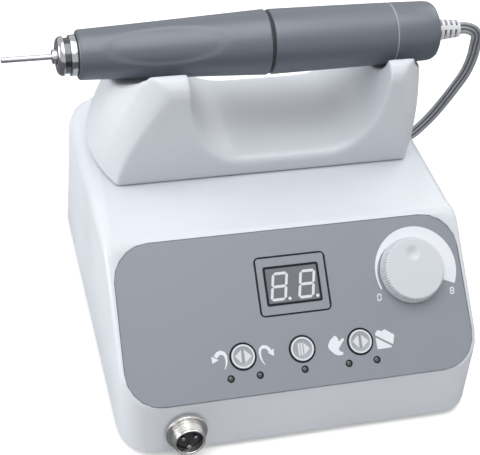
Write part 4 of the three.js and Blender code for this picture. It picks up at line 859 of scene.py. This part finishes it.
keySet = {
    "steps": 64,
    "rim": (4.86, 4.2, 0.3, 0.6),       # outer, inner, low, high
    "markHeights": (0.3, 0.47),
    "barHeights": (0.3, 0.44),
    "profile": [
        (-3.3, 0), (-3.3, 1.5), (-2, 1.5), (-2, 5.45), (-1.3, 5.45), (-1.3, 4.95), (0.5, 4.95, 0.3),
        (0.5, 4.1, 0.2), (0.4, 3.9), (0.4, 2), (0.4, 0),
    ],
    # outlines round the key's middle: the turn marks lean, the standby mark stands straight
    "turn": [[(-3.5, 0.4), (-0.6, 2.7), (-0.9, -2.6)], [(0.6, 2.7), (3.6, -0.2), (0.6, -2.7)]],
    "turnBar": [(-0.35, 2.8), (0.0, 2.8), (0.1, -2.8), (-0.3, -2.8)],
    "pause": [
        [(-1.8, 2.5), (-1.05, 2.5), (-1.05, -2.6), (-1.8, -2.6)],
        [(-0.65, 2.5), (0.1, 2.5), (0.1, -2.6), (-0.65, -2.6)],
        [(0.6, 2.5), (3.2, -0.1), (0.6, -2.6)],
    ],
}
lampSet = {
    "steps": 32,
    "profile": [(-3.6, 0), (-3.6, 1.22), (-0.3, 1.22, 0.3), (0.02, 0.7, 0.4), (0.05, 0)],
}

keyKinds = (("reverse_button", "turn"), ("standby_button", "pause"), ("hand_foot_button", "turn"))
for i, (node, kind) in enumerate(keyKinds):
    body = body_of(cadNodes[node])[0]
    place = panelPlace @ Matrix.Translation((panelSet["keys"][i], panelSet["keyUp"], 0))
    cap = turned(keySet["profile"], "Z", keySet["steps"])
    finishPiece(cap, node + "Cap", body, "key face", place=place, node=node)
    # the rim's light colour is a painted highlight along the key's edge
    rim = ringAt(0, 0, *keySet["rim"], keySet["steps"])
    finishPiece(rim, node + "Rim", body, "painted rim highlight", place=place)
    keyMarks = plates(keySet[kind], *keySet["markHeights"])
    finishPiece(keyMarks, node + "Marks", body, "display segment", place=place)
    if kind == "turn":
        bar = plates([keySet["turnBar"]], *keySet["barHeights"])
        finishPiece(bar, node + "Bar", body, "panel film", place=place)
for i, x in enumerate(panelSet["lamps"], 1):
    lens = turned(lampSet["profile"], "Z", lampSet["steps"])
    place = panelPlace @ Matrix.Translation((x, panelSet["lampUp"], 0))
    onUnit(lens, f"lamp{i}", "lamp lens", place, f"mode_lamp_{i}")
print("keys and lamps")


# speed knob

knobSet = {
    "top": 5.1,
    "crown": 0.12,              # mm that the middle of the top stands up
    "crownRadius": 12,
    "rings": 18,                # on the top, and the space between them
    "ringPitch": 0.7,
    "topRadius": 13.2,
    "topRound": 0.9,
    "shoulder": (2.4, 0.35),    # down and out from the rim
    "baseRadius": 14.1,
    "baseHeights": (0.9, 0.3),
    "baseRound": 0.3,
    "under": [(0.3, 9.0), (1.6, 9.0), (1.6, 2.9), (3.7, 2.9), (3.7, 0)],
    "ribs": 72,
    "ribSteps": 4,
    "ribDepth": 0.45,
    "ribGap": (0.45, 0.8),      # shares of the pitch between which it lies low
    "ribFade": (0.5, 2),        # height where the gaps begin, and over how much they deepen
    "dimple": (0, 6.6),
    "dimpleRadius": 3.4,
    "dimpleDepth": 0.95,
    "dimplePower": 1.5,
    "face": (0.2, 0.5),         # what the dimple moves: this far below the top and inside the rim
}


def makeKnob():
    top, radius, base = knobSet["top"], knobSet["topRadius"], knobSet["baseRadius"]
    down, wider = knobSet["shoulder"]
    baseTop, baseLow = knobSet["baseHeights"]
    rings = [knobSet["ringPitch"] * i for i in range(knobSet["rings"])]
    flat = [(top + knobSet["crown"] * (1 - (r / knobSet["crownRadius"]) ** 2), r) for r in rings]
    side = [
        (top, radius, knobSet["topRound"]), (top - down, radius + wider),
        (baseTop, base), (baseLow, base, knobSet["baseRound"]),
    ]
    bm = turned(flat + side + knobSet["under"], "Z", knobSet["ribs"] * knobSet["ribSteps"])
    gapFrom, gapTo = knobSet["ribGap"]
    fadeFrom, fadeOver = knobSet["ribFade"]
    dimpleX, dimpleY = knobSet["dimple"]
    faceDepth, faceMargin = knobSet["face"]
    for vert in bm.verts:
        x, y, z = vert.co
        out = hypot(x, y)
        if out > radius - knobSet["topRound"] and z > fadeFrom:
            share = atan2(y, x) / (2 * pi) * knobSet["ribs"] % 1
            low = gapFrom < share < gapTo
            pull = 1 - knobSet["ribDepth"] * low * smoothStep((z - fadeFrom) / fadeOver) / out
            vert.co.x, vert.co.y = x * pull, y * pull
        away = hypot(x - dimpleX, y - dimpleY) / knobSet["dimpleRadius"]
        if z > top - faceDepth and away < 1 and out < radius - faceMargin:
            vert.co.z -= knobSet["dimpleDepth"] * (1 - away * away) ** knobSet["dimplePower"]
    place = panelPlace @ Matrix.Translation((*panelSet["knob"], 0))
    finishPiece(bm, "speedKnob", "speed_dial", "knob plastic", 40, place, "speed_knob")


makeKnob()
print("speed knob")


# motor socket in the lip

socketSet = {
    "shell": [
        (-11, 5.6), (-11, 6.4, 0.2), (0.3, 6.4), (0.3, 8.7, 0.3), (2.3, 8.7, 0.45), (2.3, 7.0),
        (2.7, 7.0, 0.15), (2.7, 6.4),
    ],
    "thread": (2.95, 7.1),          # from and to
    "pitch": 0.75,
    "root": 6.4,
    "crest": 6.74,
    "crestShares": (0.35, 0.65),    # of the pitch
    "threadRound": 0.08,
    "mouth": [(7.35, 6.5, 0.15), (7.8, 6.3, 0.15), (7.8, 5.75, 0.12), (7.5, 5.6)],
    "insulator": [(-10.7, 0), (-10.7, 5.3), (4.6, 5.3, 0.3), (4.6, 0)],
    "pins": ((0, -3), (2.6, 1.5), (-2.6, 1.5)),
    "pin": [(-13.4, 0), (-13.4, 0.8), (7.0, 0.8, 0.6), (7.1, 0)],
    "steps": {"shell": 96, "insulator": 64, "pin": 24},
}


def makeSocket():
    profile = list(socketSet["shell"])
    z, end = socketSet["thread"]
    pitch, root, crest, rounding = (socketSet[key] for key in ("pitch", "root", "crest", "threadRound"))
    while z + pitch < end:
        profile.append((z, root, rounding))
        profile += [(z + pitch * share, crest, rounding) for share in socketSet["crestShares"]]
        z += pitch
    profile += [(z, root)] + socketSet["mouth"]
    steps = socketSet["steps"]
    shell = turned(profile, "Z", steps["shell"], closed=True, rounding=3)
    finishPiece(
        shell, "socketShell", "control_unit", "nickel", 40, lipPlace, "motor_socket_shell",
    )
    insulator = turned(socketSet["insulator"], "Z", steps["insulator"])
    onUnit(
        insulator, "socketInsulator", "black plastic", lipPlace, "motor_socket_insulator",
    )
    for i, (x, y) in enumerate(socketSet["pins"], 1):
        pin = turned(socketSet["pin"], "Z", steps["pin"])
        place = lipPlace @ Matrix.Translation((x, y, 0))
        onUnit(pin, f"socketPin{i}", "polished chrome", place, f"motor_socket_pin_{i}")


makeSocket()
print("motor socket")


# handpiece

handSet = {
    "steps": 128,
    "sleeveSteps": 180,
    "sleeveFront": -78.8,
    "sleeveRear": 0.9,
    "frontRadius": 10.3,
    "rearRadius": 13.8,
    "taperPower": 1.08,
    "frontRound": 2.6,
    "rearRound": 0.8,
    "frontRun": 4,                  # mm that the front's rounding has to itself
    "sleeveBore": 7.6,
    "motorBore": 11.6,
    "boreStep": (-10.7, -22.3),     # where the motor's bore ends and the narrow one begins
    "skin": 0.5,                    # only what lies this near the outside is scooped
    "nose": [
        (-87.2, 3.4), (-87.2, 6.0, 0.3), (-86.6, 7.5, 0.9), (-85.2, 8.1, 0.8), (-84.3, 8.1, 0.25),
        (-84.15, 7.0), (-81.95, 7.0), (-81.8, 8.4, 0.3), (-79.1, 8.4, 0.3), (-79.1, 7.35), (-80.4, 7.35),
        (-80.4, 3.4),
    ],
    "scoop": (-43, 9, 27),          # middle, half width and half length, mm
    "scoopDepth": 0.45,
    "scoopEdge": 0.22,              # share of the scoop in which it deepens
    "scoopTurn": 45,                # degrees from the top towards the front
    "case": [
        (-80.1, 6.0), (-80.1, 7.2), (2.2, 7.2), (2.2, 12.7), (2.4, 13.3, 0.3), (3.1, 13.7, 0.5),
        (29.4, 13.5), (55.9, 13.2, 0.3), (56.4, 12.9, 0.1), (56.4, 11.6), (4.1, 11.6), (4.1, 6.0),
    ],
    "cap": [
        (56.7, 6.0), (56.7, 12.9, 0.1), (57.1, 13.2, 0.3), (66, 13.0), (77, 12.7, 4.2), (77, 3.2),
        (73.8, 3.2), (73.8, 6.0),
    ],
    "noseGrooveShade": [(-84.25, 6.6), (-84.25, 7.35), (-81.85, 7.35), (-81.85, 6.6)],
    "capBand": [(56.25, 12.0), (56.25, 13.05, 0.1), (56.85, 13.05, 0.1), (56.85, 12.0)],
    "seam": [(-3.0, 7.25), (-3.0, 11.3), (1.05, 11.3), (1.05, 12.9, 0.2), (2.15, 12.9, 0.2), (2.15, 7.25)],
    "collet": [(-88.9, 1.32), (-88.9, 2.6, 0.2), (-88.5, 3.0, 0.2), (-64, 3.0), (-64, 1.32)],
    "colletSteps": 48,
    "bur": [(-109.4, 0), (-109.4, 0.95, 0.1), (-109, 1.17, 0.2), (-66.9, 1.17), (-66.9, 0)],
    "burSteps": 32,
}

reliefSet = {
    "steps": 48,
    "collar": [(73.8, 0), (73.8, 2.9), (77.2, 2.9), (77.2, 4.9, 0.25), (78.3, 4.85), (78.3, 2.3), (78.3, 0)],
    "core": [(78.0, 0), (78.0, 3.1), (88.2, 2.6), (88.4, 0)],
    "from": 78.2,
    "to": 88.9,
    "bore": 2.4,
    "root": (78, 4.85),     # where its taper is measured from, and the radius there
    "taper": 0.1,           # mm of radius for each along
    "slots": 4,
    "firstSlot": 78.6,
    "pitch": 2.5,
    "slot": 1.1,
    "offset": 0.6,          # of the second row
    "rounds": (0.15, 0.3),  # of a wall's edge, and of the last wall's
    "wallSteps": 24,
    "holeSides": 24,        # the largest end that is closed
    "web": 45,              # degrees
    "webWidth": 26,
    "webSteps": 6,
    "webTo": 88.8,
    "webSunk": 0.02,
}


def sleeveRadius(x):
    share = (x - handSet["sleeveFront"]) / (handSet["sleeveRear"] - handSet["sleeveFront"])
    growth = handSet["rearRadius"] - handSet["frontRadius"]
    return handSet["frontRadius"] + growth * max(share, 0) ** handSet["taperPower"]


def makeSleeve():
    front, rear, run = handSet["sleeveFront"], handSet["sleeveRear"], handSet["frontRun"]
    bore, motorBore = handSet["sleeveBore"], handSet["motorBore"]
    wideEnd, narrowEnd = handSet["boreStep"]
    profile = [(front, bore), (front, sleeveRadius(front), handSet["frontRound"])]
    profile += [(x, sleeveRadius(x)) for x in [front + run + i for i in range(int(rear - front) - run)]]
    profile += [(rear, handSet["rearRadius"], handSet["rearRound"]), (rear, motorBore)]
    profile += [(wideEnd, motorBore), (narrowEnd, bore)]
    bm = turned(profile, "X", handSet["sleeveSteps"], closed=True, rounding=5)
    middle, halfWidth, halfLength = handSet["scoop"]
    turn = radians(handSet["scoopTurn"])
    for vert in bm.verts:
        x, y, z = vert.co
        out = hypot(y, z)
        if out < sleeveRadius(x) - handSet["skin"]:
            continue
        off = atan2(-y, z) - turn
        off = atan2(sin(off), cos(off)) * out
        away = sqrt(((x - middle) / halfLength) ** 2 + (off / halfWidth) ** 2)
        if away < 1:
            pull = 1 - handSet["scoopDepth"] * smoothStep((1 - away) / handSet["scoopEdge"]) / out
            vert.co.y, vert.co.z = y * pull, z * pull
    finishPiece(bm, "gripSleeve", "grip", "handpiece grey", 50, handPlace, "front_sleeve")


def reliefRadius(x):
    start, radius = reliefSet["root"]
    return radius - (x - start) * reliefSet["taper"]


def makeRelief():
    # two rows of slots with a web between them on the front and one on the back
    start, end, bore, slots = reliefSet["from"], reliefSet["to"], reliefSet["bore"], reliefSet["slots"]
    edge, lastEdge = reliefSet["rounds"]
    bm = turnInto(bmesh.new(), reliefSet["collar"], "X", reliefSet["steps"])
    for row, shift in ((0, 0), (1, reliefSet["offset"])):
        begin = radians(reliefSet["web"] + 180 * row)
        low = start
        for i in range(slots + 1):
            wallEnd = reliefSet["firstSlot"] + i * reliefSet["pitch"] + shift if i < slots else end
            rounding = lastEdge if i == slots else edge
            wall = [
                (low, bore), (low, reliefRadius(low), edge),
                (wallEnd, reliefRadius(wallEnd), rounding), (wallEnd, bore),
            ]
            turnInto(bm, wall, "X", reliefSet["wallSteps"], closed=True, rounding=2, angle=pi, begin=begin)
            low = wallEnd + reliefSet["slot"]
    webEnd, sunk, webWidth = reliefSet["webTo"], reliefSet["webSunk"], reliefSet["webWidth"]
    startRadius, endRadius = reliefSet["root"][1] - sunk, reliefRadius(webEnd) - sunk
    for side in (0, 1):
        web = [(start, bore), (start, startRadius), (webEnd, endRadius), (webEnd, bore)]
        begin = radians(reliefSet["web"] - webWidth / 2 + 180 * side)
        turnInto(bm, web, "X", reliefSet["webSteps"], closed=True, angle=radians(webWidth), begin=begin)
    closeUp(bm)
    bmesh.ops.holes_fill(bm, edges=[e for e in bm.edges if e.is_boundary], sides=reliefSet["holeSides"])
    faceOut(bm)
    slotted = (bm, "strainRelief", "relief grey", "strain_relief")
    # the black core is painted shade: it darkens the slots
    core = (turned(reliefSet["core"], "X", reliefSet["steps"]), "strainReliefCore", "black plastic", None)
    for made, name, look, node in (slotted, core):
        finishPiece(made, name, "handpiece", look, 40, handPlace, node)


makeSleeve()
makeRelief()
steps = handSet["steps"]
for key, name, body, slotName, look, node, count, closed in (
    ("nose", "noseRing", "handpiece", "nose_chrome", "polished chrome", "nose_ring", steps, True),
    ("case", "motorCase", "handpiece", "motor_case", "handpiece grey", "motor_case", steps, True),
    ("cap", "endCap", "handpiece", "end_cap", "handpiece grey", "end_cap", steps, True),
    # the dark steel ring in the nose's groove is painted shade
    ("noseGrooveShade", "noseGrooveRing", "handpiece", "nose_chrome", "groove shade steel", None, steps, True),
    ("capBand", "capBandRing", "handpiece", "end_cap", "key face", None, steps, True),
    ("seam", "seamRing", "handpiece", "motor_case", "rubber", None, steps, True),
    ("collet", "colletBody", "spindle", "collet", "turned steel", "collet", handSet["colletSteps"], True),
    ("bur", "burShank", "bur", "bur", "turned steel", "bur_shank", handSet["burSteps"], False),
):
    bm = turned(handSet[key], "X", count, closed=closed)
    finishPiece(bm, name, body, look, 40, handPlace, node)
print("handpiece")


# rear wall, tie, plug

for node, name, slotName, look, width in (
    ("mains_inlet", "mainsInlet", "black_plastic", "black plastic", 0.3),
    ("power_switch_frame", "switchFrame", "black_plastic", "black plastic", 0.25),
    ("power_rocker", "powerRocker", "rocker", "black plastic", 0.3),
    ("fuse_holder", "fuseHolder", "black_plastic", "black plastic", 0.25),
    ("pedal_socket", "pedalSocket", "socket_metal", "nickel", 0.2),
):
    refined(node, name, look, width)
cordPieces = [
    refined("coil_tie", "coilTie", "tie fabric", 0.25),
    refined("plug_body", "plugBody", "nickel", 0.3),
    refined("plug_ring", "plugRing", "nickel", 0.12),
]
print("rear parts, tie and plug")


# the CAD's own inner parts and small hardware

keptMaterials = {
    "turned steel": (
        "base_screw_1", "base_screw_2", "base_screw_3", "base_screw_4", "motor_socket_nut", "potentiometer",
        "potentiometer_nut", "potentiometer_shaft", "front_bearing", "rear_bearing", "rotor",
    ),
    "circuit board": ("control_board", "power_board"),
    "black plastic": ("display_module", "key_switch_1", "key_switch_2", "key_switch_3"),
    "copper winding": ("stator",),
    "core laminations": ("transformer",),
    "extruded aluminium": ("heat_sink",),
}
for look, nodes in keptMaterials.items():
    for node in nodes:
        for slot in cadNodes[node].material_slots:
            slot.material = materials[look]
print("inner parts")


# floor, backdrop and lamps

stageSet = {
    "floor": 6.0,               # m across
    "drop": 0.0002,             # m below the feet
    "paper": (0.93, 0.93, 0.93),
    "paintedReflection": (0.16, 0.165, 0.18),   # what a glossy ray meets instead of the paper
    "rough": 0.9,
    "fillFrom": (0.3, 1.5),     # m from the middle of the floor
    "fill": (0.24, 0.9),        # its own light there, for camera rays
    "ambient": 0.31,
    "aim": (0, 0, 0.04),
    "lamps": {                  # place and size in m, then power in W
        "topLamp": ((-0.05, -0.06, 1.0), 1.05, 9.6),
        "leftLamp": ((-0.98, 0.26, 0.27), 0.5, 5.4),
        "rightLamp": ((0.75, 0.45, 0.60), 0.6, 2.4),
    },
}


def paleSeen(tree, seen, plain):
    # one value where the camera, a gloss or a glass sees it, plain light for the rest
    light = newNode(tree, "LightPath")
    pale = light.outputs["Is Camera Ray"]
    for ray in ("Is Glossy Ray", "Is Transmission Ray"):
        either = newNode(tree, "Math", operation="MAXIMUM")
        tree.links.new(pale, either.inputs[0])
        tree.links.new(light.outputs[ray], either.inputs[1])
        pale = either.outputs[0]
    mixed = newNode(tree, "Mix", {"A": plain, "B": seen})
    tree.links.new(pale, mixed.inputs["Factor"])
    return mixed.outputs["Result"]


def makeWorld():
    world = bpy.data.worlds.new("room")
    world.use_nodes = True
    background = world.node_tree.nodes["Background"]
    background.inputs["Color"].default_value = (1, 1, 1, 1)
    strength = paleSeen(world.node_tree, 1.0, stageSet["ambient"])
    world.node_tree.links.new(strength, background.inputs["Strength"])
    bpy.context.scene.world = world


def makePaper():
    # white paper, with a painted dark reflection: glossy rays see a dark colour instead of the paper
    material, tree, shader, vector = newMaterial("floor paper")
    light = newNode(tree, "LightPath")
    paper = mixColours(tree, stageSet["paper"], stageSet["paintedReflection"])
    tree.links.new(light.outputs["Is Glossy Ray"], paper.inputs["Factor"])
    tree.links.new(paper.outputs["Result"], shader.inputs["Base Color"])
    shader.inputs["Roughness"].default_value = stageSet["rough"]
    shader.inputs["Emission Color"].default_value = (1, 1, 1, 1)
    # its own light makes up for the lamps' fall with distance
    away = newNode(tree, "VectorMath", operation="LENGTH")
    fill = newNode(tree, "MapRange")
    for end, i in (("Min", 0), ("Max", 1)):
        fill.inputs["From " + end].default_value = stageSet["fillFrom"][i]
        fill.inputs["To " + end].default_value = stageSet["fill"][i]
    whiter = newNode(tree, "Math", operation="MULTIPLY")
    tree.links.new(vector, away.inputs[0])
    tree.links.new(away.outputs["Value"], fill.inputs["Value"])
    tree.links.new(light.outputs["Is Camera Ray"], whiter.inputs[0])
    tree.links.new(fill.outputs["Result"], whiter.inputs[1])
    tree.links.new(whiter.outputs[0], shader.inputs["Emission Strength"])
    return material


def makeFloor():
    bm = bmesh.new()
    bmesh.ops.create_grid(bm, x_segments=2, y_segments=2, size=stageSet["floor"] / 2)
    mesh = meshOf(bm, "floor")
    floor = newObject("floor", mesh)
    floor.location.z = -stageSet["drop"]
    mesh.materials.append(makePaper())


def makeLamps():
    for name, (place, size, power) in stageSet["lamps"].items():
        data = bpy.data.lights.new(name, "AREA")
        data.size = size
        data.energy = power
        lamp = newObject(name, data)
        lamp.location = place
        lamp.rotation_mode = "QUATERNION"
        lamp.rotation_quaternion = (Vector(stageSet["aim"]) - lamp.location).to_track_quat("-Z", "Y")


makeWorld()
makeFloor()
makeLamps()
print("stage")
